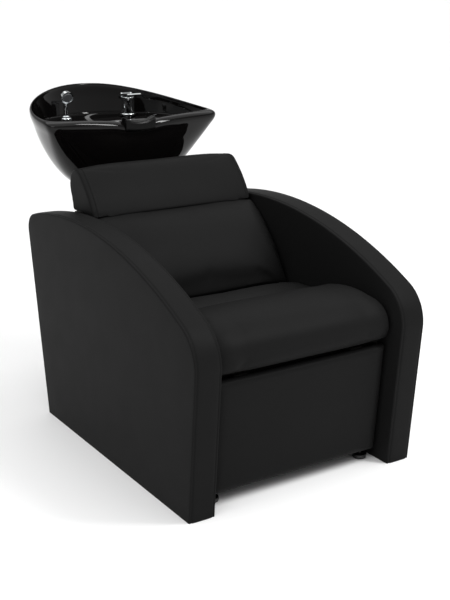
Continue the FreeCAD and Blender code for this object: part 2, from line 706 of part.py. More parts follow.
def make_base():
    """Welded tube base on four glide feet."""
    inner = "(overall_width / 2 - arm_thick)"
    low, high = "base_clearance", "(base_clearance + tube_height)"
    front = ("front_tube_front", "(front_tube_front + tube_width)")
    rear = ("rear_tube_front", "(rear_tube_front + rear_tube_depth)")
    keep(tube((f"-{inner}", inner), front, (low, high), "tube_wall", "x"), "front_cross_tube")
    keep(tube((f"-{inner}", inner), rear, (low, high), "tube_wall", "x"), "rear_cross_tube")
    feet = []
    for name, side in SIDES.items():
        middle = f"{side} * rail_offset"
        across = (f"{middle} - tube_width / 2", f"{middle} + tube_width / 2")
        keep(tube(across, (front[1], rear[0]), (low, high), "tube_wall", "y"), f"{name}_base_rail")
        for row in (front, rear):
            feet.append(turned(
                [("0", "0"), ("foot_radius - foot_round", "0", "foot_round"), ("foot_radius", "foot_round"),
                 ("foot_radius", "foot_pad_height"), ("foot_stem_radius", "foot_pad_height"),
                 ("foot_stem_radius", "base_clearance"), ("0", "base_clearance")],
                (middle, f"({row[0]} + {row[1]}) / 2", "0")))
    keep(group(*feet), "foot_glides")


def make_post():
    """Box section post on a base plate, with the yoke that carries the tilt pin."""
    floor = "(base_clearance + tube_height)"
    front = "(rear_tube_front + (rear_tube_depth - post_depth) / 2)"
    rear = f"({front} + post_depth)"
    half = "(post_width / 2)"
    plate = f"({half} + post_plate_margin)"
    keep(box((f"-{plate}", plate), ("rear_tube_front", "rear_tube_front + rear_tube_depth"),
             (floor, f"{floor} + post_plate_thick")), "post_plate")
    post = tube((f"-{half}", half), (front, rear), (f"{floor} + post_plate_thick", "post_top"),
                "post_wall", "z")
    levels = [f"((yoke_foot + post_top) / 2 + {turn} * yoke_bolt_spacing / 2)" for turn in SIDES.values()]
    keep(cut(post, *yoke_holes(rear, levels)), "basin_post")
    make_yoke(rear, levels)


def yoke_holes(rear, levels):
    """Rods through the post's rear wall and the yoke's web, one for each bolt."""
    length = "post_wall + yoke_plate + 2 * cut_margin"
    start = f"{rear} - post_wall - cut_margin"
    return [rod("yoke_bolt_radius", length, ("0", start, level), "y") for level in levels]


def make_yoke(rear, levels):
    """Two cheeks on a web, bolted to the post, with the tilt pin, its nut and the friction washers."""
    ear = "(yoke_gap / 2)"
    outer = f"({ear} + yoke_plate)"
    back = f"({rear} + yoke_plate)"
    cheek_corners = [
        (rear, "yoke_foot"),
        ("pivot_depth + lug_radius * sin(cheek_turn)", "pivot_height - lug_radius * cos(cheek_turn)",
         "lug_radius"),
        ("pivot_depth + lug_radius * cos(cheek_turn)", "pivot_height + lug_radius * sin(cheek_turn)",
         "lug_radius"),
        ("pivot_depth", "pivot_height + lug_radius"),
        (rear, "post_top"),
    ]
    cheeks = []
    for pair in ((f"-{outer}", f"-{ear}"), (ear, outer)):
        cheek, base = slab(cheek_corners, *pair)
        cheeks.append(cheek)
    web = box((f"-{outer}", outer), (rear, back), ("yoke_foot", "post_top"))
    bolts = []
    for level in levels:
        head = hexagon("yoke_bolt_head_radius", "yoke_bolt_head", ("0", back, level), "y")
        shank = rod("yoke_bolt_radius", "yoke_plate + post_wall", ("0", f"{rear} - post_wall", level), "y")
        bolts.append(fuse(head, shank))
    bore = rod("pivot_radius", f"2 * ({outer} + cut_margin)",
               (f"-{outer} - cut_margin", "pivot_depth", "pivot_height"), "x")
    keep(cut(fuse(*cheeks, web), bore, *yoke_holes(rear, levels)), "tilt_yoke")
    keep(group(*bolts), "yoke_bolts")
    pin = rod("pivot_radius", f"2 * {outer} + pivot_head", (f"-{outer}", "pivot_depth", "pivot_height"), "x")
    head = hexagon("pivot_head_radius", "pivot_head",
                   (f"-{outer} - pivot_head", "pivot_depth", "pivot_height"), "x")
    keep(fuse(pin, head), "pivot_pin")
    nut = hexagon("pivot_head_radius", "pivot_head", (outer, "pivot_depth", "pivot_height"), "x")
    nut_bore = rod("pivot_radius", "pivot_head", (outer, "pivot_depth", "pivot_height"), "x")
    keep(cut(nut, nut_bore), "pivot_nut")
    washers = []
    for start in (f"-{ear}", f"{ear} - washer_thick"):
        disc = rod("washer_radius", "washer_thick", (start, "pivot_depth", "pivot_height"), "x")
        hole = rod("pivot_radius", "washer_thick", (start, "pivot_depth", "pivot_height"), "x")
        washers.append(cut(disc, hole))
    keep(group(*washers), "friction_washers")


def make_cradle():
    """Plate with two lugs that turns on the pin and carries the basin on a rubber pad."""
    top = "(basin_base - cradle_pad)"
    under = f"({top} - cradle_thick)"
    lug_out = "(yoke_gap / 2 - washer_thick - lug_clearance)"
    lug_in = f"({lug_out} - yoke_plate)"
    plate = box(("-cradle_half_width", "cradle_half_width"), ("cradle_front", "cradle_rear"), (under, top))
    lugs = []
    for pair in ((f"-{lug_out}", f"-{lug_in}"), (lug_in, lug_out)):
        lug, base = slab(
            [("pivot_depth - lug_radius", "pivot_height", "lug_radius"),
             ("pivot_depth", "pivot_height - lug_radius", "lug_radius"),
             ("pivot_depth + lug_radius", "pivot_height"),
             ("pivot_depth + lug_radius", under), ("pivot_depth - lug_radius", under)], *pair)
        lugs.append(lug)
    bore = rod("pivot_radius + pivot_clearance", f"2 * ({lug_out} + cut_margin)",
               (f"-{lug_out} - cut_margin", "pivot_depth", "pivot_height"), "x")
    through = "cradle_thick + 2 * cut_margin"
    drain = rod("cradle_bore", through, ("0", "drain_depth", f"{under} - cut_margin"))
    spots = [(f"{side} * cradle_bolt_side", "cradle_bolt_rear") for side in SIDES.values()]
    spots += [(f"{side} * cradle_bolt_inner", "cradle_bolt_front") for side in SIDES.values()]
    holes = [rod("cradle_bolt_radius", through, (*spot, f"{under} - cut_margin")) for spot in spots]
    keep(cut(fuse(plate, *lugs), bore, drain, *holes), "cradle")
    pad_plate = box(("-cradle_half_width", "cradle_half_width"), ("cradle_front", "cradle_rear"),
                    (top, "basin_base"))
    through = "cradle_pad + 2 * cut_margin"
    pad_drain = rod("cradle_bore", through, ("0", "drain_depth", f"{top} - cut_margin"))
    pad_holes = [rod("cradle_bolt_radius", through, (*spot, f"{top} - cut_margin")) for spot in spots]
    keep(cut(pad_plate, pad_drain, *pad_holes), "cradle_pad")
    bolts = []
    for spot in spots:
        head = hexagon("cradle_bolt_head_radius", "cradle_bolt_head", (*spot, f"{under} - cradle_bolt_head"))
        shank = rod("cradle_bolt_radius", "cradle_thick + cradle_pad + cradle_bolt_grip", (*spot, under))
        bolts.append(fuse(head, shank))
    keep(group(*bolts), "cradle_bolts")
    return spots


# Basin

def plan_points(half, front, rear, widest, corner):
    """Evenly spaced points of a closed plan curve: a squarish front that meets an elliptical rear."""
    dense = []
    for index in range(PLAN_STEPS):
        angle = math.pi / 2 + 2 * math.pi * index / PLAN_STEPS
        across, along = math.cos(angle), math.sin(angle)
        power = 2 / corner if along < 0 else 2 / REAR_CORNER
        reach = widest - front if along < 0 else rear - widest
        x = half * math.copysign(abs(across) ** power, across)
        y = widest + reach * math.copysign(abs(along) ** power, along)
        dense.append(FreeCAD.Vector(x, y, 0))
    dense.append(dense[0])
    lengths = [0.0]
    for first, second in zip(dense, dense[1:]):
        lengths.append(lengths[-1] + (second - first).Length)
    points = []
    place = 0
    for index in range(RING_POINTS):
        target = lengths[-1] * index / RING_POINTS
        while lengths[place + 1] < target:
            place += 1
        share = (target - lengths[place]) / (lengths[place + 1] - lengths[place])
        points.append(dense[place] * (1 - share) + dense[place + 1] * share)
    return points


def closed_curve(points):
    """A smooth closed wire through points whose Y is still a depth from the arms' front."""
    shift = number("middle_depth")
    curve = Part.BSplineCurve()
    places = [FreeCAD.Vector(point.x, point.y - shift, point.z) for point in points]
    knots = [float(index) for index in range(len(places) + 1)]
    curve.interpolate(Points=places, PeriodicFlag=True, Parameters=knots)
    return Part.Wire(curve.toShape())


def rim_height(x, y):
    """Rim height: level in front, climbing to the rear on one arc, with a dip and the neck notch in front."""
    front, run = number("basin_front"), number("basin_rear - basin_front")
    rise = number("basin_rim_rear - basin_rim_front")
    radius = (run ** 2 + rise ** 2) / (2 * rise)
    along = max(y - front, 0.0)
    height = number("basin_rim_front") + radius - math.sqrt(radius ** 2 - along ** 2)
    near = max(0.0, 1.0 - along / number("dip_reach"))
    dip = number("dip_depth") * math.exp(-(x / number("dip_half_width")) ** 2)
    notch = number("notch_depth") * math.exp(-(x / number("notch_half_width")) ** 4)
    return height - (dip + notch) * math.sqrt(near)


def basin_section(share):
    """Outer plan part way from base to rim: half width, front, rear, widest depth, corner power."""
    half, front, rear = number("basin_half_width"), number("basin_front"), number("basin_rear")
    centre, base_half = number("drain_depth"), number("basin_base_half_width")
    base_reach = number("basin_base_reach")
    flare = share ** SIDE_FLARE
    return (
        base_half + (half - base_half) * flare,
        centre - base_reach - (centre - base_reach - front) * flare,
        centre + base_reach + (rear - centre - base_reach) * (1 - (1 - share) ** REAR_SWELL),
        centre - (centre - front - number("basin_corner_depth")) * share ** WIDEST_DRIFT,
        REAR_CORNER + (number("basin_corner") - REAR_CORNER) * share ** CORNER_FADE,
    )


def inset_plan(section, inset):
    half, front, rear, widest, corner = section
    return plan_points(half - inset, front + inset, rear - inset, widest, corner)


def basin_shell():
    """The basin's skin from base to rim, over the rim, down to the deck and into the bowl, as one solid."""
    base, deck, wall = number("basin_base"), number("deck_height"), number("basin_wall")
    floor = base + number("basin_floor")

    def at_height(points, height):
        return closed_curve([FreeCAD.Vector(point.x, point.y, height) for point in points])

    rim = inset_plan(basin_section(1.0), 0)
    outer = []
    for share in OUTER_SHARES:
        points = inset_plan(basin_section(share), 0)
        heights = [base + share * (rim_height(top.x, top.y) - base) for top in rim]
        outer.append(closed_curve([FreeCAD.Vector(p.x, p.y, z) for p, z in zip(points, heights)]))
    half, front, rear, widest, _ = basin_section(1.0)
    corner, setback = number("basin_inner_corner"), number("mouth_setback")
    mouth = inset_plan((half, front, rear, widest + setback, corner), wall)
    lip = [outer[-1]]
    for share, rise in LIP_STEPS:
        lift = rise * number("rim_round")
        lip.append(closed_curve(
            [FreeCAD.Vector(*(top * (1 - share) + p * share)[:2], rim_height(top.x, top.y) + lift)
             for p, top in zip(mouth, rim)]))
    front_share = (deck - base) / (number("basin_rim_front") - base)
    rear_share = (deck - base) / (number("basin_rim_rear") - base)
    half, front, _, widest, _ = basin_section(front_share)
    widest += setback
    rear = basin_section(rear_share)[2]
    ledge = inset_plan((half, front, rear, widest, corner), wall)
    ledge_curve = at_height(ledge, deck)
    step = wall + number("ledge_step")
    centre, floor_half = number("drain_depth"), number("bowl_floor_half_width")
    bowl = []
    for share in BOWL_SHARES:
        flare = share ** BOWL_FLARE
        points = plan_points(
            floor_half + (half - step - floor_half) * flare,
            centre - floor_half - (centre - floor_half - front - step) * flare,
            centre + floor_half + (number("bowl_rear") - centre - floor_half) * flare,
            centre + (widest + number("bowl_widest_step") - centre) * share,
            REAR_CORNER + (corner - REAR_CORNER) * share,
        )
        bowl.append(at_height(points, floor + share * (deck - floor)))
    skins = [
        Part.makeLoft(outer, False, False),
        Part.makeLoft(lip, False, False),
        Part.makeLoft([lip[-1], ledge_curve], False, True),
        Part.makeLoft([ledge_curve, bowl[-1]], False, True),
        Part.makeLoft(bowl, False, False),
        Part.Face(bowl[0]),
        Part.Face(outer[0]),
    ]
    faces = [face for skin in skins for face in skin.Faces]
    shell = Part.makeShell(faces)
    shell.sewShape(SEW_TOLERANCE)
    solid = Part.makeSolid(shell.Shells[0] if shell.Shells else shell)
    if solid.Volume < 0:
        solid.reverse()
    return solid


def make_basin(spots):
    """Ceramic basin: the shell with its drain, fitting and bolt holes and the room under the deck."""
    shape = basin_shell()
    base, deck, shift = number("basin_base"), number("deck_height"), number("middle_depth")
    side, near, rear = number("pocket_half_width"), number("pocket_front"), number("pocket_rear")
    room = Part.makeBox(2 * side, rear - near, deck - number("deck_thick") - base,
                        FreeCAD.Vector(-side, near - shift, base))
    shape = shape.cut(room)
    margin = number("cut_margin")
    holes = [(0, number("drain_depth"), number("drain_bore"), base - margin,
              number("basin_floor") + 2 * margin)]
    for hand in SIDES.values():
        holes.append((hand * number("fitting_side"), number("fitting_depth"), number("deck_bore"),
                      deck - 2 * number("deck_thick"), 3 * number("deck_thick")))
    for across, along in spots:
        holes.append((number(across), number(along), number("cradle_bolt_radius"), base - margin,
                      number("cradle_bolt_grip") + margin))
    for x, y, radius, low, length in holes:
        shape = shape.cut(Part.makeCylinder(radius, length, FreeCAD.Vector(x, y - shift, low)))
    keep(feature(shape), "basin")


def make_neck_rest():
    """Rubber saddle over the neck notch, with raised ends, an apron in front and a tuck inside."""
    gap, skin, step = number("neck_gap"), number("neck_skin"), number("neck_round_step")
    front = number("basin_front") - gap
    rear = number("basin_front + basin_wall + neck_rear_gap")
    half = number("neck_half_width")
    wires = []
    for share in NECK_STATIONS:
        seat = rim_height(share * half, number("basin_front")) + number("rim_round + neck_seat_gap")
        top = seat + number("neck_pad") + number("neck_horn") * share ** 2
        apron, tuck = seat - number("neck_apron"), seat - number("neck_tuck")
        round_in = skin / 2
        wires.append(side_wire(share * half, [
            (front - skin, apron), (front, apron), (front, seat), (rear, seat), (rear, tuck),
            (rear + skin, tuck),
            (rear + skin, top - round_in, (rear + skin - step, top - step)),
            (rear + skin - round_in, top), (front - skin + round_in, top, (front - skin + step, top - step)),
            (front - skin, top - round_in),
        ]))
    keep(feature(Part.makeLoft(wires, True, False)), "neck_rest")


# Drain and fittings

def ring(outer, inner, length, at):
    """A plain round ring."""
    return cut(rod(outer, length, at), rod(inner, length, at))


def lock_nut(outer, inner, length, at):
    return cut(hexagon(outer, length, at), rod(inner, length, at))


def make_drain():
    """Flanged waste through the basin's floor, with its gasket, lock nut, tailpiece and lift-out strainer."""
    floor = "(basin_base + basin_floor)"
    inner = "(drain_tube - drain_wall)"
    rise = f"({floor} - drain_tube_end)"
    spot = ("0", "drain_depth")
    keep(turned([(inner, "0"), ("drain_tube", "0"), ("drain_tube", rise), ("drain_flange", rise),
                 ("drain_flange - drain_flange_thick", f"{rise} + drain_flange_thick"),
                 (inner, f"{rise} + drain_flange_thick")], (*spot, "drain_tube_end")), "drain_flange")
    gasket = "(basin_base - drain_gasket)"
    keep(ring("drain_nut_radius", "drain_tube", "drain_gasket", (*spot, gasket)), "drain_gasket")
    keep(lock_nut("drain_nut_radius", "drain_tube", "drain_nut_height",
                  (*spot, f"{gasket} - drain_nut_height")),
         "drain_nut")
    keep(ring("tail_radius", "tail_radius - drain_wall", "tail_length",
              (*spot, "drain_tube_end - tail_length")),
         "drain_tail")
    seat = f"({floor} + drain_flange_thick + strainer_gap)"
    dome = turned([("strainer_radius - strainer_thick", "-strainer_skirt"),
                   ("strainer_radius", "-strainer_skirt"),
                   ("strainer_radius", "0"), ("strainer_rim", "0"), ("strainer_rim", "strainer_thick"),
                   ("strainer_radius", "strainer_thick", "2 * strainer_radius"),
                   ("strainer_hole", "strainer_rise"), ("strainer_hole", "strainer_rise - strainer_thick"),
                   ("strainer_radius - strainer_thick", "0")], (*spot, seat))
    holes = []
    count = int(number("strainer_holes"))
    for index in range(count):
        turn = 360 * (index + 0.5) / count
        holes.append(rod("strainer_hole", "2 * strainer_rise",
                         (f"strainer_ring * cos({turn})", f"drain_depth + strainer_ring * sin({turn})", seat)))
    keep(cut(dome, *holes), "strainer")


def make_mixer():
    """Single lever mixer on the deck: body, gasket, lock nut, supply tails, swivelling cap and lever."""
    side, back = "fitting_side", "fitting_depth"
    foot = "(deck_height + fitting_gasket)"
    keep(ring("mixer_flange_radius - mixer_flange_round", "shank_radius", "fitting_gasket",
              (side, back, "deck_height")), "mixer_gasket")
    keep(turned([("0", "-shank_length"), ("shank_radius", "-shank_length"), ("shank_radius", "0"),
                 ("mixer_flange_radius", "0"),
                 ("mixer_flange_radius", "mixer_flange_height - mixer_flange_round",
                                                "mixer_flange_round"),
                 ("mixer_flange_radius - mixer_flange_round", "mixer_flange_height"),
                 ("mixer_radius", "mixer_flange_height"), ("mixer_radius", "mixer_height"),
                 ("0", "mixer_height")],
                (side, back, foot)), "mixer_body")
    under = "(deck_height - deck_thick)"
    keep(lock_nut("lock_nut_radius", "shank_radius", "lock_nut_height",
                  (side, back, f"{under} - lock_nut_height")),
         "mixer_nut")
    tails = [rod("supply_radius", "supply_length",
                 (f"{side} + {hand} * supply_offset", back, f"{foot} - shank_length - supply_length"))
             for hand in SIDES.values()]
    keep(group(*tails), "supply_tails")
    cap_foot = f"({foot} + mixer_height + cap_gap)"
    cap_top = f"({cap_foot} + mixer_cap_height)"
    dome = turned([("0", "0"), ("mixer_radius", "0"),
                   ("mixer_radius", "mixer_cap_height - mixer_cap_round", "mixer_cap_round"),
                   ("mixer_radius - mixer_cap_round", "mixer_cap_height"), ("0", "mixer_cap_height")],
                  (side, back, cap_foot))
    pin_depth = f"({back} + lever_pin_depth)"
    pin_height = f"({cap_top} + lever_gap + lever_barrel)"
    ear_in = "(lever_neck_width / 2 + lever_ear_gap)"
    ears = []
    for hand in SIDES.values():
        pair = sorted((f"{side} + {hand} * {ear_in}", f"{side} + {hand} * ({ear_in} + lever_ear)"), key=number)
        ear, base = slab([(f"{pin_depth} - lever_barrel", f"{cap_top} - mixer_cap_round"),
                          (f"{pin_depth} + lever_barrel", f"{cap_top} - mixer_cap_round"),
                          (f"{pin_depth} + lever_barrel", pin_height, "lever_barrel"),
                          (pin_depth, f"{pin_height} + lever_barrel", "lever_barrel"),
                          (f"{pin_depth} - lever_barrel", pin_height)], *pair)
        ears.append(ear)
    span = f"(2 * ({ear_in} + lever_ear))"
    start = (f"{side} - {span} / 2", pin_depth, pin_height)
    keep(cut(fuse(dome, *ears), rod("lever_pin_radius", span, start, "x")), "mixer_cap")
    keep(rod("lever_pin_radius", span, start, "x"), "lever_pin")
    low = f"({cap_top} + lever_gap)"
    tip = f"({back} - lever_reach)"
    paddle_rear = f"({pin_depth} - 2 * lever_barrel)"
    paddle, base = slab([(tip, f"{low} + lever_rise"), (paddle_rear, low),
                         (paddle_rear, f"{low} + lever_thick"),
                         (tip, f"{low} + lever_rise + lever_thick / 2")],
                        f"{side} - lever_width / 2", f"{side} + lever_width / 2")
    neck, base = slab([(paddle_rear, low), (pin_depth, low, "lever_barrel"),
                       (f"{pin_depth} + lever_barrel", pin_height, "lever_barrel"),
                       (pin_depth, f"{pin_height} + lever_barrel"), (paddle_rear, f"{low} + lever_thick")],
                      f"{side} - lever_neck_width / 2", f"{side} + lever_neck_width / 2")
    bore = rod("lever_pin_radius + lever_clearance", span, start, "x")
    keep(cut(fuse(paddle, neck), bore), "mixer_lever")


def make_shower():
    """Hand shower that stands in a flanged holder on the deck."""
    side, back = "-fitting_side", "fitting_depth"
    keep(turned([("holder_bore", "-holder_sleeve"), ("shank_radius", "-holder_sleeve"), ("shank_radius", "0"),
                 ("holder_flange_radius", "0"),
                 ("holder_flange_radius", "holder_flange_height - holder_round", "holder_round"),
                 ("holder_flange_radius - holder_round", "holder_flange_height"),
                 ("holder_bore", "holder_flange_height")], (side, back, "deck_height")), "shower_holder")
    under = "(deck_height - deck_thick)"
    keep(lock_nut("lock_nut_radius", "shank_radius", "lock_nut_height",
                  (side, back, f"{under} - lock_nut_height")),
         "shower_holder_nut")
    seat = "(deck_height + holder_flange_height + shower_clearance)"
    plug = "(holder_bore - shower_clearance)"
    drop = "(holder_sleeve + holder_flange_height)"
    handle = turned([("0", f"-{drop}"), (plug, f"-{drop}"), (plug, "0"), ("shower_collar_radius", "0"),
                     ("shower_collar_radius", "shower_collar / 2"), ("shower_stem_radius", "shower_collar"),
                     ("shower_neck_radius", "shower_neck_height"), ("0", "shower_neck_height")],
                    (side, back, seat))
    tilt = FreeCAD.Rotation(FreeCAD.Vector(1, 0, 0), 90 + number("shower_tilt"))
    lean = ("sin(shower_tilt)", "cos(shower_tilt)")
    middle = (f"({back} - shower_head_forward + shower_head_thick / 2 * {lean[1]})",
              f"({seat} + shower_head_height - shower_collar + shower_head_thick / 2 * {lean[0]})")
    head = cone("shower_head_back_radius", "shower_head_radius", "shower_head_thick",
                (side, middle[0], middle[1]))
    face_at = (f"({middle[0]} - shower_head_thick * {lean[1]})",
               f"({middle[1]} - shower_head_thick * {lean[0]})")
    face = cone("shower_face_radius", "shower_face_radius - shower_face_taper", "shower_face_thick",
                (side, face_at[0], face_at[1]))
    for piece, place in ((head, middle), (face, face_at)):
        piece.Placement = FreeCAD.Placement(FreeCAD.Vector(), tilt)
        for letter, spot in zip("xyz", (side, depth(place[0]), place[1])):
            bind(piece, f".Placement.Base.{letter}", spot)
    keep(fuse(handle, head), "shower_handle")
    keep(face, "spray_face")


# Build

for arm_name, arm_side in SIDES.items():
    make_arm(arm_name, arm_side)
make_upholstery()
make_rear_panel()
make_base()
make_post()
bolt_spots = make_cradle()
make_basin(bolt_spots)
make_neck_rest()
make_drain()
make_mixer()
make_shower()

document.recompute()
failed = [item.Label for item in document.Objects if "Invalid" in item.State or "Error" in item.State]
failed += [item.Label for item in sub_parts if item.Shape.isNull() or not item.Shape.isValid()]
if failed:
    raise RuntimeError("not built: " + ", ".join(failed))
os.makedirs("parts", exist_ok=True)
for item in sub_parts:
    item.Shape.exportStep(f"parts/{item.Label}.step")
total = Part.makeCompound([item.Shape for item in sub_parts])
print(len(sub_parts), "sub-parts, box", total.BoundBox)
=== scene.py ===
"""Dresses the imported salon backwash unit: leatherette covers, glazed basin, chrome fittings and a studio."""

import functools
import json
import logging
import math
from dataclasses import dataclass
from enum import Enum
from typing import Callable, Iterable, Sequence

import bmesh
import bpy
from bmesh.types import BMEdge, BMesh, BMVert
from bpy.types import ID, Material, Mesh, Node, NodeSocket, NodeTree, Object
from mathutils import Matrix, Vector

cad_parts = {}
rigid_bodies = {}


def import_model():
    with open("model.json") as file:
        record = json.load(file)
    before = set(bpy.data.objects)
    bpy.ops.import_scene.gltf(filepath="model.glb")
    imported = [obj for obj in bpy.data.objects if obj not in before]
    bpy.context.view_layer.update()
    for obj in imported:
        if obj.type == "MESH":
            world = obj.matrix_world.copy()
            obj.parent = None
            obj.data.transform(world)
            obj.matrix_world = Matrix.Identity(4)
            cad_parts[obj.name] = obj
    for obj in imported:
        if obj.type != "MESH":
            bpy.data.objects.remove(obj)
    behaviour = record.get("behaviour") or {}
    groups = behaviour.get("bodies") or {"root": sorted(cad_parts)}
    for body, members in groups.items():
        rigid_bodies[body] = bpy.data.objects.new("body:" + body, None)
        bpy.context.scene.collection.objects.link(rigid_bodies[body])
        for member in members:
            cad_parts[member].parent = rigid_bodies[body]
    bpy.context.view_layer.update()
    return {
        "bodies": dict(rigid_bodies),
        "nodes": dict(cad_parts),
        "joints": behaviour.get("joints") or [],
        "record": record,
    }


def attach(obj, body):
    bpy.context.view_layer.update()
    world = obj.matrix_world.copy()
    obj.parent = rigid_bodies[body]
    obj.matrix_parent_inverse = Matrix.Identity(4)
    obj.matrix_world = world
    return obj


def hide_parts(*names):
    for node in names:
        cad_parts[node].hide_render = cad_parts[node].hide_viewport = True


LOG = logging.getLogger("backwash_unit")
MM = 0.001
# How far the frame's origin lies behind the arms' front bottom edge, in millimetres.
MIDDLE_DEPTH = 620.6
ACROSS = Vector((1, 0, 0))
SIDES = {"left": -1, "right": 1}
# The points of a ring or of its plan, in order.
Ring = list[Vector]
# Points closer than this, in metres, lie in one place.
TOUCH = 1e-5
# Most values of a noise lie between these two.
NOISE_LOW, NOISE_HIGH = 0.3, 0.7
# Sockets of a mix node that blends colours.
MIX_FACTOR, MIX_DARK, MIX_LIGHT, MIX_RESULT = 0, 6, 7, 2
# A tough cover over springy foam, held at its board.
COVER_CLOTH = {
    "quality": 5,
    "tension_stiffness": 15,
    "compression_stiffness": 15,
    "shear_stiffness": 8,
    "bending_stiffness": 0.6,
    "use_pressure": True,
    "vertex_group_mass": "held",
}


def spot(x: float, depth: float, height: float) -> Vector:
    """Turn millimetres, with the depth from the arms' front bottom edge, into a point in metres."""
    return Vector((x * MM, (depth - MIDDLE_DEPTH) * MM, height * MM))


def linear(colour: str) -> tuple[float, float, float, float]:
    """Turn an sRGB hex colour such as "#1a1a1b" into linear red, green, blue and an alpha of one."""
    shares = [int(colour[i:i + 2], 16) / 255 for i in (1, 3, 5)]
    return *(v / 12.92 if v <= 0.04045 else ((v + 0.055) / 1.055) ** 2.4 for v in shares), 1.0


def add_node(
    tree: NodeTree,
    kind: str,
    settings: dict | None = None,
    values: dict | None = None,
    links: dict | None = None,
) -> Node:
    """Add one node to a material or world.

    Args:
        tree: The node tree.
        kind: The node's type name.
        settings: Attributes to set on the node.
        values: Input sockets and their values.
        links: Input sockets and the output sockets that feed them.

    Returns:
        The new node.
    """
    node = tree.nodes.new(kind)
    for name, value in (settings or {}).items():
        setattr(node, name, value)
    for name, value in (values or {}).items():
        node.inputs[name].default_value = value
    for name, source in (links or {}).items():
        tree.links.new(source, node.inputs[name])
    return node


class Relief(Enum):
    """What the fine relief of a finish looks like."""

    PEBBLE = "embossed pebbles"
    RIPPLE = "slow ripples"
    PEEL = "orange peel"
    FIBRE = "long fibres"


@dataclass(frozen=True)
class Finish:
    """A surface finish with its relief, its tone and its gloss.

    Lengths are in millimetres. The tone drifts between dark and light over tone_size, the gloss between
    the two roughness values over gloss_size.
    """

    name: str
    dark: str
    light: str
    rough_low: float
    rough_high: float
    relief: Relief
    relief_size: float
    relief_height: float
    tone_size: float
    gloss_size: float
    metallic: float = 0.0
    ior: float = 1.5
    specular: float = 0.5
    stretch: tuple[float, float, float] = (1.0, 1.0, 1.0)

    @functools.cache
    def material(self) -> Material:
        """Return the finish as a material, made once."""
        material = bpy.data.materials.new(self.name)
        material.use_nodes = True
        tree = material.node_tree
        tree.nodes.clear()
        place = add_node(tree, "ShaderNodeTexCoord").outputs["Object"]
        turned = add_node(tree, "ShaderNodeMapping", None, {"Scale": self.stretch}, {"Vector": place})
        vector = turned.outputs["Vector"]
        tone = self.noise(tree, vector, self.tone_size, detail=4.0)
        colour = add_node(tree, "ShaderNodeMix", {"data_type": "RGBA"},
                          {MIX_DARK: linear(self.dark), MIX_LIGHT: linear(self.light)}, {MIX_FACTOR: tone})
        gloss = self.noise(tree, vector, self.gloss_size, detail=3.0)
        rough = add_node(tree, "ShaderNodeMapRange", None,
                         {"From Min": NOISE_LOW, "From Max": NOISE_HIGH,
                          "To Min": self.rough_low, "To Max": self.rough_high}, {"Value": gloss})
        bump = add_node(tree, "ShaderNodeBump", None, {"Distance": self.relief_height * MM, "Strength": 1.0},
                        {"Height": self.height(tree, vector)})
        shader = add_node(
            tree, "ShaderNodeBsdfPrincipled",
            values={"Metallic": self.metallic, "IOR": self.ior, "Specular IOR Level": self.specular},
            links={"Base Color": colour.outputs[MIX_RESULT], "Roughness": rough.outputs["Result"],
                   "Normal": bump.outputs["Normal"]})
        add_node(tree, "ShaderNodeOutputMaterial", links={"Surface": shader.outputs["BSDF"]})
        return material

    def height(self, tree: NodeTree, vector: NodeSocket) -> NodeSocket:
        """Build the relief.

        Args:
            tree: The material's node tree.
            vector: Where the surface is.

        Returns:
            The socket that holds the relief's height.
        """
        if self.relief is Relief.PEBBLE:
            cells = add_node(tree, "ShaderNodeTexVoronoi", {"feature": "SMOOTH_F1"},
                             {"Scale": 1 / (self.relief_size * MM), "Smoothness": 0.6, "Randomness": 1.0},
                             {"Vector": vector})
            return cells.outputs["Distance"]
        detail = {Relief.RIPPLE: 1.0, Relief.PEEL: 2.0, Relief.FIBRE: 6.0}[self.relief]
        return self.noise(tree, vector, self.relief_size, detail, roughness=0.55)

    @staticmethod
    def noise(tree: NodeTree, vector: NodeSocket, size: float, detail: float,
              roughness: float = 0.5) -> NodeSocket:
        """Return a noise that changes over a size, with finer layers of a given number and strength."""
        values = {"Scale": 1 / (size * MM), "Detail": detail, "Roughness": roughness}
        return add_node(tree, "ShaderNodeTexNoise", None, values, {"Vector": vector}).outputs["Fac"]


# Coated cloth, embossed with a fine pebble grain: dark, with hardly any shine. The grain is about 1 mm on
# the real one and is drawn at 2 mm so that it shows.
LEATHERETTE = Finish("pebbled_leatherette", "#171717", "#191919", 0.46, 0.5, Relief.PEBBLE, 2.0, 0.14,
                     tone_size=160, gloss_size=70, specular=0.03)
# Fired black glaze: deep, mirror smooth, with the slow ripple that a dipped glaze keeps.
GLAZE = Finish("black_ceramic_glaze", "#060506", "#090807", 0.03, 0.06, Relief.RIPPLE, 45.0, 0.05,
               tone_size=120, gloss_size=60, ior=1.2, specular=1.0)
# Bright chromium on brass: mirror with a few dull water marks.
CHROME = Finish("bright_chromium", "#cfd2d4", "#dcdfe0", 0.04, 0.10, Relief.RIPPLE, 14.0, 0.01,
                tone_size=30, gloss_size=9, metallic=1.0)
# Powder coat baked on steel tube: satin black with orange peel.
POWDER_COAT = Finish("black_powder_coat", "#121213", "#171718", 0.38, 0.48, Relief.PEEL, 1.6, 0.05,
                     tone_size=60, gloss_size=20)
# Birch plywood and pine rails as sawn: pale, with long fibres across the width.
TIMBER = Finish("sawn_timber", "#8d6b43", "#b8935f", 0.62, 0.78, Relief.FIBRE, 3.0, 0.15,
                tone_size=9, gloss_size=12, stretch=(0.06, 1.0, 1.0))
# Plywood and rails behind the upholstery, coloured near black: partly the black backing such units have,
# partly painted shade, so that the gaps between the cushions read dark instead of showing pale wood.
BACKING_AND_SHADE_TIMBER = Finish("backing_and_shade_timber", "#0d0c0b", "#151311", 0.6, 0.75, Relief.FIBRE, 3.0, 0.15,
                        tone_size=9, gloss_size=12, specular=0.25, stretch=(0.06, 1.0, 1.0))
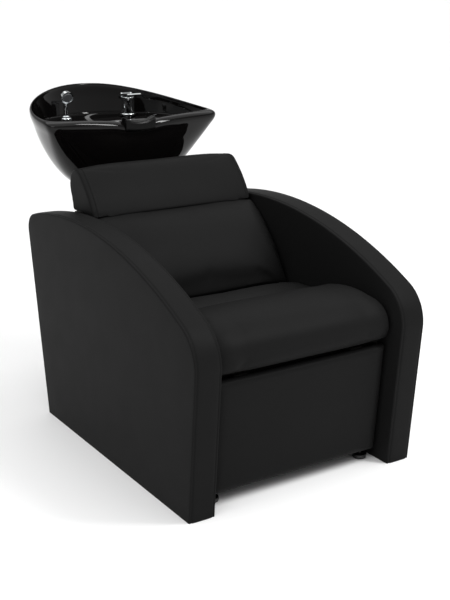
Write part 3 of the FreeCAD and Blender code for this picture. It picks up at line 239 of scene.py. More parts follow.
# Bonded polyester thread, twisted: a touch darker than the cover.
THREAD = Finish("black_thread", "#0b0b0b", "#131313", 0.5, 0.65, Relief.FIBRE, 0.6, 0.05,
                tone_size=8, gloss_size=5, specular=0.2)
# Pressed laminate on the service panel: matt, with a fine pressed texture.
LAMINATE = Finish("pressed_laminate", "#161617", "#1b1b1c", 0.55, 0.66, Relief.PEEL, 1.2, 0.06,
                  tone_size=80, gloss_size=15, specular=0.35)
# Moulded nitrile rubber: matt, soft edges, a little bloom.
RUBBER = Finish("moulded_rubber", "#0e0e0e", "#151515", 0.42, 0.6, Relief.PEEL, 2.0, 0.04,
                tone_size=25, gloss_size=12, specular=0.4)
# Soft black gel of the neck rest: smooth and glossy.
GEL = Finish("neck_gel", "#030303", "#050505", 0.2, 0.26, Relief.RIPPLE, 12.0, 0.04,
             tone_size=25, gloss_size=12, ior=1.3, specular=0.3)
# Injection moulded nylon: smooth and half glossy.
NYLON = Finish("moulded_nylon", "#0c0c0d", "#111112", 0.25, 0.36, Relief.PEEL, 1.5, 0.02,
               tone_size=20, gloss_size=10)
# Bright zinc on steel fasteners: pale grey, fine brushed streaks.
ZINC = Finish("zinc_plate", "#9a9da0", "#b4b6b8", 0.28, 0.42, Relief.FIBRE, 0.8, 0.02,
              tone_size=6, gloss_size=4, metallic=1.0, stretch=(0.2, 1.0, 1.0))
# Turned brass left bare below the deck: fine tool marks.
BRASS = Finish("turned_brass", "#a8863f", "#bf9c52", 0.22, 0.34, Relief.FIBRE, 0.7, 0.02,
               tone_size=10, gloss_size=6, metallic=1.0, stretch=(0.2, 0.2, 1.0))
# Grey moulded spray plate.
SPRAY_PLASTIC = Finish("grey_spray_plate", "#3a3b3c", "#46474a", 0.38, 0.5, Relief.PEEL, 1.2, 0.02,
                       tone_size=12, gloss_size=8)


def add_object(name: str, data: ID) -> Object:
    """Add an object with its data to the scene and return it."""
    item = bpy.data.objects.new(name, data)
    bpy.context.scene.collection.objects.link(item)
    return item


def opened(mesh: Mesh) -> BMesh:
    """Return a mesh as a form that can be worked on."""
    form = bmesh.new()
    form.from_mesh(mesh)
    return form


def stored(form: BMesh, mesh: Mesh) -> Mesh:
    """Write a form into a mesh, free the form and return the mesh."""
    form.to_mesh(mesh)
    form.free()
    return mesh


def everything(form: BMesh) -> list:
    """Return all points, edges and faces of a form."""
    return [*form.verts, *form.edges, *form.faces]


def make_piece(
    name: str,
    form: BMesh,
    finish: Finish,
    body: str,
    nodes: Sequence[str] = (),
    sharp: float = 180.0,
) -> Object:
    """Turn a finished bmesh into a piece of the unit.

    Args:
        name: The piece's name.
        form: The mesh, which is freed.
        finish: Its finish.
        body: The body that it moves with.
        nodes: The solids that it stands for.
        sharp: The angle in degrees above which an edge stays sharp; at 180 none does.

    Returns:
        The piece.
    """
    bmesh.ops.remove_doubles(form, verts=form.verts, dist=0.02 * MM)
    bmesh.ops.recalc_face_normals(form, faces=form.faces)
    mesh = stored(form, bpy.data.meshes.new(name))
    mesh.shade_smooth()
    mesh.set_sharp_from_angle(angle=math.radians(sharp))
    mesh.materials.append(finish.material())
    return settle(add_object(name, mesh), body, nodes)


def settle(piece: Object, body: str, nodes: Sequence[str]) -> Object:
    """Tie a piece to its body and the solids that it stands for.

    Args:
        piece: The piece, in place.
        body: The body that it moves with.
        nodes: The solids that it stands for.

    Returns:
        The same piece.
    """
    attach(piece, body)
    if nodes:
        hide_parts(*nodes)
    LOG.info("%s on %s: %d faces", piece.name, body, len(piece.data.polygons))
    return piece


def skin(rings: Iterable[Ring]) -> BMesh:
    """Extrude a closed form ring after ring and close both of its ends.

    Args:
        rings: The rings' points in metres, each ring with as many as the first.

    Returns:
        The mesh.
    """
    form = bmesh.new()
    ring, loop = [], []
    for points in rings:
        if ring:
            made = bmesh.ops.extrude_edge_only(form, edges=loop)["geom"]
            loop = [item for item in made if isinstance(item, BMEdge) and item.is_boundary]
            fresh = {item for item in made if isinstance(item, BMVert)}
            ring = [next(edge.other_vert(v) for edge in v.link_edges if edge.other_vert(v) in fresh)
                    for v in ring]
        else:
            ring = [form.verts.new() for _ in points]
            form.faces.new(ring)
            loop = list(form.edges)
        for vertex, point in zip(ring, points):
            vertex.co = point
    bmesh.ops.contextual_create(form, geom=loop)
    return form


def soften(piece: Object, levels: int) -> None:
    """Finish a piece with a subdivision surface of so many levels."""
    modifier = piece.modifiers.new("soft", "SUBSURF")
    modifier.levels = modifier.render_levels = levels


def baked(piece: Object) -> Mesh:
    """Return a new mesh of the piece with its modifiers applied."""
    graph = bpy.context.evaluated_depsgraph_get()
    return bpy.data.meshes.new_from_object(piece.evaluated_get(graph), depsgraph=graph)


@dataclass
class Cushion:
    """A stuffed piece that starts from its solid and is blown up against its board.

    Lengths in millimetres. The ends are stuffed fuller from end_from of the half width on, over end_run of
    it, and sideways by end_across of that.
    """

    node: str
    held: Callable[[Vector], bool]
    shrink: float
    cap: float
    fill: float
    voxel: float = 5.0
    pressure: float = 4.0
    frames: int = 20
    rounds: int = 5
    rounds_on_all: int = 2
    sink: float = 0.0
    ends: float = 0.0
    end_from: float = 0.68
    end_run: float = 0.26
    end_across: float = 0.4
    seams: tuple[float, ...] = ()
    seam_steps: tuple[tuple[float, float], ...] = ((-3, 0), (-1.2, 1), (0, 2), (1.2, 1), (3, 0))

    def build(self, solid: Object) -> Object:
        """Make the cushion.

        Args:
            solid: The solid that the cushion fills.

        Returns:
            The cushion, riding on the chair.
        """
        piece = add_object(f"{self.node}_cover", self.remeshed(solid))
        self.draw_in(piece)
        self.blow_up(piece)
        self.relax(piece)
        self.sew(piece)
        piece.data.shade_smooth()
        piece.data.materials.clear()
        piece.data.materials.append(LEATHERETTE.material())
        soften(piece, 1)
        settle(piece, "chair", [self.node])
        return piece

    def remeshed(self, solid: Object) -> Mesh:
        """Return the solid's form as an even mesh.

        Args:
            solid: The solid that the cushion fills.

        Returns:
            The mesh.
        """
        form = opened(solid.data)
        bmesh.ops.remove_doubles(form, verts=form.verts, dist=0.05 * MM)
        helper = add_object("form", stored(form, bpy.data.meshes.new("form")))
        remesh = helper.modifiers.new("even", "REMESH")
        remesh.mode = "VOXEL"
        remesh.voxel_size = self.voxel * MM
        result = baked(helper)
        bpy.data.objects.remove(helper)
        return result

    def draw_in(self, piece: Object) -> None:
        """Note the points that are held and shrink the rest a little, because it swells later.

        The underside sinks into what the cushion rests on, and the two ends are stuffed fuller.

        Args:
            piece: The cushion.
        """
        group = piece.vertex_groups.new(name="held")
        fast = {v.index for v in piece.data.vertices if self.held(v.co)}
        group.add(list(fast), 1.0, "REPLACE")
        half = max(v.co.x for v in piece.data.vertices)
        moved = {}
        for vertex in piece.data.vertices:
            if vertex.index not in fast:
                near = min(max((abs(vertex.co.x) / half - self.end_from) / self.end_run, 0.0), 1.0)
                fuller = self.ends * near * near * (3 - 2 * near)
                out = Vector((self.end_across, 1, 1)) * vertex.normal
                moved[vertex.index] = vertex.co + (out * fuller - vertex.normal * self.shrink) * MM
        sole = min(v.co.z for v in piece.data.vertices) + self.voxel * 2 * MM
        for vertex in piece.data.vertices:
            if vertex.co.z < sole:
                vertex.co.z -= self.sink * MM
        for index, place in moved.items():
            piece.data.vertices[index].co = place

    def blow_up(self, piece: Object) -> None:
        """Let the cover swell under its stuffing, and cap how far each point moves.

        Args:
            piece: The cushion.
        """
        scene = bpy.context.scene
        rest = [v.co.copy() for v in piece.data.vertices]
        cloth = piece.modifiers.new("stuffing", "CLOTH")
        for name, value in COVER_CLOTH.items():
            setattr(cloth.settings, name, value)
        cloth.settings.uniform_pressure_force = self.pressure
        cloth.settings.effector_weights.gravity = 0
        cloth.point_cache.frame_start = 1
        cloth.point_cache.frame_end = self.frames
        for frame in range(1, self.frames + 1):
            scene.frame_set(frame)
        swollen = baked(piece)
        for vertex, start, end in zip(piece.data.vertices, rest, swollen.vertices):
            step = end.co - start
            length = max(step.length, 1e-9)
            vertex.co = start + step * min(1.0, self.cap * MM / length)
        piece.modifiers.remove(cloth)
        bpy.data.meshes.remove(swollen)
        scene.frame_set(1)

    def relax(self, piece: Object) -> None:
        """Smooth what the even mesh left of steps, held edges less than the rest.

        Args:
            piece: The cushion.
        """
        form = opened(piece.data)
        free = [v for v in form.verts if not self.held(v.co)]
        for number in range(self.rounds):
            smooth = form.verts if number < self.rounds_on_all else free
            bmesh.ops.smooth_vert(form, verts=smooth, factor=0.5,
                                  use_axis_x=True, use_axis_y=True, use_axis_z=True)
        stored(form, piece.data)

    def sew(self, piece: Object) -> None:
        """Sink the cover into its seams, which run round it at the X places of the seams.

        Args:
            piece: The cushion.
        """
        if not self.seams:
            return
        form = opened(piece.data)
        sunk = {}
        for place in self.seams:
            for step, deep in self.seam_steps:
                x = (place + step) * MM
                cut = bmesh.ops.bisect_plane(form, geom=everything(form), dist=0.2 * MM,
                                             plane_co=(x, 0, 0), plane_no=ACROSS)
                for item in cut["geom_cut"]:
                    if isinstance(item, BMVert):
                        sunk[item] = deep
        form.normal_update()
        for vertex, deep in sunk.items():
            vertex.co -= vertex.normal * deep * MM
        stored(form, piece.data)


@dataclass
class Upholstery:
    """Seat, backrest, headrest and kick panel. Lengths in millimetres, lean in degrees."""

    seat_bottom: float = 358.0
    seat_valley: float = 290.0
    valley_half: float = 4.0
    valley_rise: float = 30.0
    back_foot_depth: float = 508.0
    back_foot_height: float = 356.0
    back_lean: float = 46.2
    back_length: float = 296.0
    head_bottom: float = 628.0
    head_seam: float = 248.0
    seam_grip: float = 4.0
    stitch_in: float = 6.0
    panel_setback: float = 40.0
    panel_thick: float = 22.0
    panel_lean: float = 5.1
    grip: float = 6.0

    def on_seat_board(self, point: Vector) -> bool:
        """Say whether a point of the seat is held by its board or by the sewn valley."""
        place = spot(0, self.seat_valley, self.seat_bottom)
        near = abs(point.y - place.y) < self.valley_half * MM
        valley = near and point.z > place.z + self.valley_rise * MM
        return valley or point.z < place.z + self.grip * MM

    def on_back_board(self, point: Vector) -> bool:
        """Say whether a point of the backrest lies on its board or at its top edge, under the headrest."""
        step = point - spot(0, self.back_foot_depth, self.back_foot_height)
        lean = math.radians(self.back_lean)
        along = step.z * math.sin(lean) + step.y * math.cos(lean)
        out = step.z * math.cos(lean) - step.y * math.sin(lean)
        return out < self.grip * MM or along > (self.back_length - self.grip) * MM

    def on_head_rail(self, point: Vector) -> bool:
        """Say whether a point of the headrest is held by its rail or by an end seam."""
        at_seam = abs(point.x) > (self.head_seam - self.seam_grip) * MM
        return at_seam or point.z < (self.head_bottom + self.grip) * MM

    def on_battens(self, point: Vector) -> bool:
        """Say whether a point of the kick panel lies at its back."""
        face = spot(0, self.panel_setback, 0).y - point.z * math.tan(math.radians(self.panel_lean))
        return point.y - face > (self.panel_thick - self.grip) * MM

    def build(self, nodes: dict[str, Object]) -> None:
        """Make the four stuffed pieces.

        Args:
            nodes: The solids by name.
        """
        covers = {}
        for cushion in (
            Cushion("seat_cushion", self.on_seat_board, shrink=1, cap=5, ends=8, fill=0.85),
            Cushion("back_cushion", self.on_back_board, shrink=2, cap=7, ends=5, fill=0.85),
            Cushion("headrest", self.on_head_rail, voxel=4, shrink=1, cap=3, sink=5, fill=0.85,
                    seams=(-self.head_seam, self.head_seam)),
            Cushion("front_panel", self.on_battens, shrink=0.5, cap=2.5, pressure=2, fill=0.95),
        ):
            covers[cushion.node] = cushion.build(nodes[cushion.node])
        for name, side in SIDES.items():
            place = side * (self.head_seam - self.stitch_in)
            Stitching(f"headrest_{name}_stitches", place).build(covers["headrest"])


@dataclass
class Stitching:
    """A row of stitches round a cover at one X place. Lengths in millimetres."""

    name: str
    place: float
    pitch: float = 5.0
    length: float = 3.6
    thick: float = 0.5
    lift: float = 0.2

    def build(self, cover: Object) -> None:
        """Lay the stitches on the cover.

        Args:
            cover: The finished cover.
        """
        line = self.line(cover)
        form = bmesh.new()
        travelled = 0.0
        for (point, normal), (ahead, _) in zip(line, line[1:]):
            step = ahead - point
            travelled += step.length
            if travelled < self.pitch * MM:
                continue
            travelled -= self.pitch * MM
            along = step.normalized() * self.length / 2 * MM
            out = normal * self.thick * MM
            side = along.cross(out).normalized() * self.thick * MM
            place = Matrix((along, side, out)).transposed().to_4x4()
            place.translation = point + normal * self.lift * MM
            bmesh.ops.create_uvsphere(form, u_segments=8, v_segments=6, radius=1, matrix=place)
        make_piece(self.name, form, THREAD, "chair")

    def line(self, cover: Object) -> list[tuple[Vector, Vector]]:
        """Walk round the cover at the row's place.

        Args:
            cover: The finished cover.

        Returns:
            Points of the way with the cover's direction outward there.
        """
        mesh = baked(cover)
        form = opened(mesh)
        bpy.data.meshes.remove(mesh)
        cut = bmesh.ops.bisect_plane(form, geom=everything(form), plane_co=(self.place * MM, 0, 0),
                                     plane_no=ACROSS)
        form.normal_update()
        edges = {item for item in cut["geom_cut"] if isinstance(item, BMEdge)}
        vertex = min((v for edge in edges for v in edge.verts), key=lambda v: v.co.z)
        walk = []
        while True:
            walk.append((vertex.co.copy(), vertex.normal.copy()))
            ways = [edge for edge in vertex.link_edges if edge in edges]
            if not ways:
                break
            edges.remove(ways[0])
            vertex = ways[0].other_vert(vertex)
        form.free()
        return walk


@dataclass
class ArmCover:
    """One arm in leatherette over its frame: two flat sides and a crowned band sewn between them.

    Lengths in millimetres, leans in degrees.
    """

    name: str
    side: int
    outer: float = 350.0
    thick: float = 75.0
    length: float = 830.0
    front_lean: float = 5.1
    rear_lean: float = 9.0
    crown_depth: float = 600.0
    crown_height: float = 635.0
    crown_radius: float = 1250.0
    nose_radius: float = 112.0
    tail_radius: float = 50.0
    corner: float = 4.5
    seam_in: float = 7.0
    seam_deep: float = 2.2
    seam_half: float = 1.6
    band_crown: float = 1.6
    return_deep: float = 14.0
    below: float = 20.0
    panel_rise: tuple[tuple[float, float], ...] = ((8, 0.3), (25, 0.6), (50, 0.5))
    panel_middle: float = 0.45
    corner_steps: int = 5
    flat_steps: int = 20
    edge_steps: int = 10
    arc_steps: tuple[int, int, int] = (28, 60, 16)

    def tangent(self, start: Vector, along: Vector, inward: Vector, radius: float) -> tuple[Vector, Vector]:
        """Find the arc that joins a straight edge to the crown.

        Args:
            start: A point of the edge, as depth and height.
            along: The edge's direction.
            inward: The direction from the edge into the arm.
            radius: The arc's radius.

        Returns:
            The arc's centre and the point where it leaves the edge.
        """
        base = start + inward * radius - self.crown
        half = base.dot(along)
        run = -half + math.sqrt(half ** 2 - base.dot(base) + (self.crown_radius - radius) ** 2)
        return start + inward * radius + along * run, start + along * run

    @property
    def crown(self) -> Vector:
        """The centre of the long arc on top."""
        return Vector((self.crown_depth, self.crown_height - self.crown_radius))

    def section(self, form: BMesh, start: Vector, inward: Vector) -> list:
        """Draw the band's cross-section as an open chain at the start of the sweep.

        Args:
            form: The mesh to draw in.
            start: Where the outline starts, as depth and height.
            inward: The direction into the arm.

        Returns:
            The chain's points and edges.
        """
        half = self.thick / 2
        middle = self.side * (self.outer - half)
        flat = half - self.corner
        chain = [(-half, self.return_deep)]
        for turn in range(self.corner_steps + 1):
            angle = math.pi / 2 * turn / self.corner_steps
            chain.append((-flat - self.corner * math.cos(angle), self.corner * (1 - math.sin(angle))))
        chain += [(flat * step / self.flat_steps, 0.0) for step in range(1 - self.flat_steps, 0)]
        chain += [(0.0, 0.0)] + [(-x, deep) for x, deep in reversed(chain)]
        points = []
        for x, deep in chain:
            share = min(abs(x) / flat, 1.0)
            groove = math.exp(-((abs(x) - half + self.seam_in) / self.seam_half) ** 2)
            rise = self.band_crown * (1 - share ** 4) - self.seam_deep * groove - deep
            points.append(form.verts.new(spot(middle + x, *(start - inward * rise))))
        edges = [form.edges.new(pair) for pair in zip(points, points[1:])]
        return points + edges

    def build(self) -> None:
        """Sweep the band along the arm's outline, close the sides and the sole, and crown the sides."""
        front, rear = math.radians(self.front_lean), math.radians(self.rear_lean)
        up = Vector((-math.sin(front), math.cos(front)))
        up_rear = Vector((math.sin(rear), math.cos(rear)))
        inward = Vector((math.cos(front), math.sin(front)))
        inward_rear = Vector((-math.cos(rear), math.sin(rear)))
        foot, heel = Vector((0.0, 0.0)), Vector((self.length, 0.0))
        nose, nose_start = self.tangent(foot, up, inward, self.nose_radius)
        tail, tail_end = self.tangent(heel, up_rear, inward_rear, self.tail_radius)
        turns = [math.pi + front]
        turns += [math.atan2(centre.y - self.crown.y, centre.x - self.crown.x) for centre in (nose, tail)]
        turns.append(-rear)
        form = bmesh.new()
        start = foot - up * self.below
        last = self.section(form, start, inward)
        last = self.straight(form, last, nose_start - start)
        for centre, begin, end, steps in zip((nose, self.crown, tail), turns, turns[1:], self.arc_steps):
            last = bmesh.ops.spin(form, geom=last, cent=spot(0, *centre), axis=ACROSS, angle=end - begin,
                                  steps=steps)["geom_last"]
        self.straight(form, last, heel - up_rear * self.below - tail_end)
        self.close(form)
        name = f"{self.name}_arm_cover"
        nodes = [f"{self.name}_arm_{part}" for part in ("band", "outer_panel", "inner_panel")]
        piece = make_piece(name, form, LEATHERETTE, "chair", nodes, sharp=50)

    def straight(self, form: BMesh, chain: list, step: Vector) -> list:
        """Carry the section along a straight edge, by a step in depth and height, and return its end."""
        shift = (spot(0, *step) - spot(0, 0, 0)) / self.edge_steps
        return bmesh.ops.spin(form, geom=chain, axis=ACROSS, dvec=shift, steps=self.edge_steps)["geom_last"]

    def close(self, form: BMesh) -> None:
        """Cut the band off at the floor and fill its two sides and its sole.

        Args:
            form: The swept band.
        """
        bmesh.ops.bisect_plane(form, geom=everything(form), plane_co=(0, 0, 0), plane_no=(0, 0, -1),
                               clear_outer=True)
        sole = self.open_edges(form, 2, 0.0)
        ends = {vertex for edge in sole for vertex in edge.verts}
        open_ends = [v for v in ends if sum(edge in sole for edge in v.link_edges) == 1]
        for x in (self.side * self.outer, self.side * (self.outer - self.thick)):
            sole.append(form.edges.new([v for v in open_ends if abs(v.co.x - x * MM) < TOUCH]))
        bmesh.ops.contextual_create(form, geom=sole)
        for x, out in ((self.outer, 1), (self.outer - self.thick, -1)):
            loop = self.open_edges(form, 0, self.side * x * MM)
            self.crown_side(form, loop, Vector((self.side * out, 0, 0)))

    @staticmethod
    def open_edges(form: BMesh, axis: int, place: float) -> list[BMEdge]:
        """Return the open edges that lie in a plane across an axis."""
        return [edge for edge in form.edges
                if edge.is_boundary and all(abs(v.co[axis] - place) < TOUCH for v in edge.verts)]

    def crown_side(self, form: BMesh, loop: list, outward: Vector) -> None:
        """Fill one side with a panel that rises a little from its seam.

        Args:
            form: The mesh.
            loop: The open edges round the side.
            outward: The direction that the side faces.
        """
        middle = spot(0, self.length / 2, self.crown_height * self.panel_middle)
        for width, lift in self.panel_rise:
            made = bmesh.ops.extrude_edge_only(form, edges=loop)["geom"]
            loop = [item for item in made if isinstance(item, BMEdge) and item.is_boundary]
            for vertex in {v for edge in loop for v in edge.verts}:
                inward = middle - vertex.co
                inward.x = 0
                vertex.co += inward.normalized() * width * MM + outward * lift * MM
        bmesh.ops.contextual_create(form, geom=loop)


@dataclass
class Basin:
    """The glazed basin, ring by ring from its base over the rim to the floor of the bowl.

    Lengths in millimetres, sharp in degrees. The rim's dips at the neck give how deep, how wide and how
    steep each one is. Shares run from base to rim, from rim to deck and from the bowl's floor to the deck.
    """

    base: float = 640.0
    rim_front: float = 857.0
    rim_rear: float = 921.0
    half: float = 290.0
    front: float = 857.0
    rear: float = 1276.0
    wall: float = 16.0
    floor: float = 24.0
    deck: float = 828.0
    drain: float = 998.0
    base_half: float = 112.0
    base_reach: float = 84.0
    corner_depth: float = 30.0
    corner: float = 4.6
    inner_corner: float = 3.1
    setback: float = 55.0
    rim_round: float = 6.0
    rim_dips: tuple[tuple[float, float, int], ...] = ((13.0, 140.0, 2), (8.0, 62.0, 4))
    dip_run: float = 60.0
    flare: float = 0.5
    rear_flare: float = 2.4
    widest_flare: float = 1.6
    corner_flare: float = 3.0
    wall_shares: tuple[float, ...] = (0.0, 0.02, 0.05, 0.1, 0.18, 0.28, 0.4, 0.52, 0.64, 0.74)
    brim: float = 0.84
    overhang: float = 9.0
    lip_rise: float = 3.0
    crest_in: float = 0.85
    roll_steps: int = 10
    rear_corner: float = 2.15
    bowl_rear: float = 1110.0
    bowl_half: float = 60.0
    bowl_flare: float = 0.42
    bowl_step: float = 5.0
    bowl_back: float = 12.0
    bowl_shares: tuple[float, ...] = (0.98, 0.9, 0.78, 0.62, 0.45, 0.3, 0.17, 0.08, 0.03, 0.0)
    ledge_shares: tuple[float, ...] = (0.3, 0.5, 0.7, 0.86, 0.95)
    deck_edge: float = 0.85
    fall: float = 0.5
    drain_bore: float = 23.0
    pocket: tuple[float, float, float] = (140.0, 1124.0, 1196.0)
    pocket_clear: float = 1.0
    segments: int = 144
    sharp: float = 35.0

    def plan(self, half: float, front: float, rear: float, widest: float, corner: float) -> Ring:
        """Place the points of one ring evenly along its plan.

        Args:
            half: Half the ring's width.
            front: Its foremost depth.
            rear: Its rearmost depth.
            widest: The depth where it is widest.
            corner: How square its front corners are.

        Returns:
            One (x, depth) point for each segment.
        """
        dense = []
        count = self.segments * 16
        for index in range(count + 1):
            angle = math.pi / 2 + 2 * math.pi * index / count
            across, along = math.cos(angle), math.sin(angle)
            power = 2 / (corner if along < 0 else self.rear_corner)
            reach = widest - front if along < 0 else rear - widest
            dense.append(Vector((half * math.copysign(abs(across) ** power, across),
                                 widest + reach * math.copysign(abs(along) ** power, along))))
        lengths = [0.0]
        for first, second in zip(dense, dense[1:]):
            lengths.append(lengths[-1] + (second - first).length)
        points, place = [], 0
        for index in range(self.segments):
            target = lengths[-1] * index / self.segments
            while lengths[place + 1] < target:
                place += 1
            share = (target - lengths[place]) / max(lengths[place + 1] - lengths[place], 1e-9)
            points.append(dense[place].lerp(dense[place + 1], share))
        return points

    def rim(self, x: float, depth: float) -> float:
        """Return the rim's height over a point of its plan.

        Args:
            x: Across, from the middle.
            depth: Back from the arms' front edge.

        Returns:
            The height.
        """
        run, rise = self.rear - self.front, self.rim_rear - self.rim_front
        radius = (run ** 2 + rise ** 2) / (2 * rise)
        along = max(depth - self.front, 0.0)
        height = self.rim_front + radius - math.sqrt(radius ** 2 - along ** 2)
        near = max(0.0, 1.0 - along / self.dip_run)
        dip = sum(deep * math.exp(-(x / wide) ** steep) for deep, wide, steep in self.rim_dips)
        return height - dip * math.sqrt(near)

    def outer(self, share: float) -> tuple[float, float, float, float, float]:
        """Return the outer plan's numbers at a share of the way from base to rim.

        Args:
            share: The share, from 0 to 1.

        Returns:
            What plan asks for, in its order.
        """
        flare = share ** self.flare
        toe, heel = self.drain - self.base_reach, self.drain + self.base_reach
        return (
            self.base_half + (self.half - self.base_half) * flare,
            toe - (toe - self.front) * flare,
            heel + (self.rear - heel) * (1 - (1 - share) ** self.rear_flare),
            self.drain - (self.drain - self.front - self.corner_depth) * share ** self.widest_flare,
            self.rear_corner + (self.corner - self.rear_corner) * share ** self.corner_flare,
        )

    def rings(self) -> Iterable[Ring]:
        """Yield the rings from the base over the rim to the floor of the bowl, in millimetres."""
        half, front, rear, widest, corner = self.outer(1.0)
        rim_plan = self.plan(half, front, rear, widest, corner)
        heights = [self.rim(p.x, p.y) for p in rim_plan]
        for share in self.wall_shares:
            yield self.wall_ring(share, heights)
        inner = self.inner_plan(half, front, rear, widest)
        over = self.overhang
        lip = self.plan(half + over, front - over, rear + over, widest, corner)
        crest_plan = [a.lerp(b, self.crest_in) for a, b in zip(rim_plan, inner)]
        crest = self.raised(crest_plan, heights, self.rim_round)
        brim = self.wall_ring(self.brim, heights)
        yield from self.rolled(brim, self.raised(lip, heights, self.lip_rise), crest)
        yield from self.rolled(crest, self.raised(inner, heights, self.rim_round),
                               self.raised(inner, heights, -self.rim_round))
        ledge = self.ledge()
        for share in self.ledge_shares:
            yield [Vector((*a.lerp(b, share), top + (self.deck - top) * share))
                   for a, b, top in zip(inner, ledge, heights)]
        bowl_top = self.bowl(1.0)
        for share, height in ((1.0, self.deck), (self.deck_edge, self.deck - self.fall)):
            yield [Vector((*b.lerp(a, share), height)) for a, b in zip(ledge, bowl_top)]
        for share in self.bowl_shares:
            level = self.base + self.floor + share * (self.deck - self.base - self.floor)
            yield [Vector((p.x, p.y, level)) for p in self.bowl(share)]
        yield [Vector((p.x / 2, self.drain + (p.y - self.drain) / 2, self.base + self.floor - self.fall))
               for p in self.bowl(0.0)]

    def wall_ring(self, share: float, heights: list[float]) -> Ring:
        """Return the outer wall's ring at a share of the way from base to rim."""
        return [Vector((*p, self.base + share * (top - self.base)))
                for p, top in zip(self.plan(*self.outer(share)), heights)]

    @staticmethod
    def raised(plan: Ring, heights: list[float], lift: float) -> Ring:
        """Return a plan's points, each lifted over its own height."""
        return [Vector((*p, top + lift)) for p, top in zip(plan, heights)]

    def rolled(self, first: Ring, corner: Ring, last: Ring) -> Iterable[Ring]:
        """Yield the rings of a rounded turn from one ring to another.

        Args:
            first: The ring that the turn starts from.
            corner: The ring that the turn bends round.
            last: The ring that it ends before.
        """
        for step in range(self.roll_steps):
            share = step / self.roll_steps
            yield [a.lerp(b, share).lerp(b.lerp(c, share), share) for a, b, c in zip(first, corner, last)]

    def inner_plan(self, half: float, front: float, rear: float, widest: float) -> Ring:
        """Return the plan of the wall's inner face inside an outer plan."""
        return self.plan(half - self.wall, front + self.wall, rear - self.wall, widest + self.setback,
                         self.inner_corner)

    def at_deck(self, rim: float) -> tuple[float, float, float, float, float]:
        """Return the outer plan's numbers level with the deck, under a rim of the given height."""
        return self.outer((self.deck - self.base) / (rim - self.base))

    def ledge(self) -> Ring:
        """Return the plan where the inner wall meets the deck."""
        half, front, _, widest, _ = self.at_deck(self.rim_front)
        return self.inner_plan(half, front, self.at_deck(self.rim_rear)[2], widest)

    def bowl(self, share: float) -> Ring:
        """Return the bowl's plan at a share of the way from its floor to the deck.

        Args:
            share: The share, from 0 to 1.

        Returns:
            The plan's points.
        """
        half, front, _, widest, _ = self.at_deck(self.rim_front)
        flare = share ** self.bowl_flare
        step = self.wall + self.bowl_step
        return self.plan(
            self.bowl_half + (half - step - self.bowl_half) * flare,
            self.drain - self.bowl_half - (self.drain - self.bowl_half - front - step) * flare,
            self.drain + self.bowl_half + (self.bowl_rear - self.drain - self.bowl_half) * flare,
            self.drain + (widest + self.setback + self.bowl_back - self.drain) * share,
            self.rear_corner + (self.inner_corner - self.rear_corner) * share,
        )

    def build(self) -> None:
        """Skin the rings, smooth the whole and cut its openings."""
        form = skin([spot(*point) for point in ring] for ring in self.rings())
        piece = make_piece("basin_ceramic", form, GLAZE, "basin", ["basin"],
                           sharp=80)
        soften(piece, 1)
        self.open_up(piece)

    def open_up(self, piece: Object) -> None:
        """Cut the drain's hole and the room for the lock nuts under the deck, as in the solid.

        Args:
            piece: The basin.
        """
        form = bmesh.new()
        half, front, rear = self.pocket
        low = spot(-half, front, self.base - self.pocket_clear)
        high = spot(half, rear, self.deck - self.wall)
        room = Matrix.Translation((low + high) / 2) @ Matrix.Diagonal((*(high - low), 1))
        bmesh.ops.create_cube(form, size=1, matrix=room)
        hole = Matrix.Translation(spot(0, self.drain, self.base + self.floor / 2))
        radius = self.drain_bore * MM
        bmesh.ops.create_cone(form, cap_ends=True, segments=64, radius1=radius, radius2=radius,
                              depth=2 * self.floor * MM, matrix=hole)
        mesh = stored(form, bpy.data.meshes.new("room"))
        mesh.materials.append(GLAZE.material())
        cutter = add_object("room", mesh)
        cut = piece.modifiers.new("room", "BOOLEAN")
        cut.operation = "DIFFERENCE"
        cut.object = cutter
        piece.data = baked(piece)
        piece.modifiers.clear()
        bpy.data.objects.remove(cutter)
        piece.data.set_sharp_from_angle(angle=math.radians(self.sharp))


@dataclass
class NeckRest:
    """The soft saddle on the basin's front rim. Lengths in millimetres."""

    basin: Basin
    half: float = 50.0
    pad: float = 8.0
    horn: float = 8.0
    apron: float = 22.0
    tuck: float = 7.0
    skin: float = 7.0
    gap: float = 0.6
    seat_gap: float = 0.8
    rear_gap: float = 2.2
    edge: float = 5.0
    hem: float = 4.0
    hem_in: float = 2.0
    end_inset: float = 1.5
    stations: int = 14

    def outline(self, x: float) -> list[tuple[float, float]]:
        """Return the saddle's section at an X as (depth, height) points, from the apron's hem all round.

        Args:
            x: Across, from the middle.

        Returns:
            The section's points.
        """
        seat = self.basin.rim(x, self.basin.front) + self.basin.rim_round + self.seat_gap
        top = seat + self.pad + self.horn * (x / self.half) ** 2
        front, rear = self.basin.front - self.gap, self.basin.front + self.basin.wall + self.rear_gap
        fore, aft = front - self.skin, rear + self.skin
        low, tuck = seat - self.apron, seat - self.tuck
        return [
            (fore + self.hem_in, low), (front, low), (front, seat), (rear, seat), (rear, tuck),
            (aft - self.hem_in, tuck), (aft, tuck + self.hem), (aft, top - self.edge),
            (aft - self.edge, top), (fore + self.edge, top), (fore, top - self.edge), (fore, low + self.hem),
        ]

    def build(self) -> None:
        """Extrude the section from one end to the other and soften it."""
        places = [self.half * (2 * index / self.stations - 1) for index in range(self.stations + 1)]
        form = skin([spot(x, *point) for point in self.outline(x)] for x in places)
        ends = [face for face in form.faces if len(face.verts) > 4]
        bmesh.ops.inset_individual(form, faces=ends, thickness=self.end_inset * MM)
        soften(make_piece("neck_rest_saddle", form, GEL, "basin", ["neck_rest"]), 2)


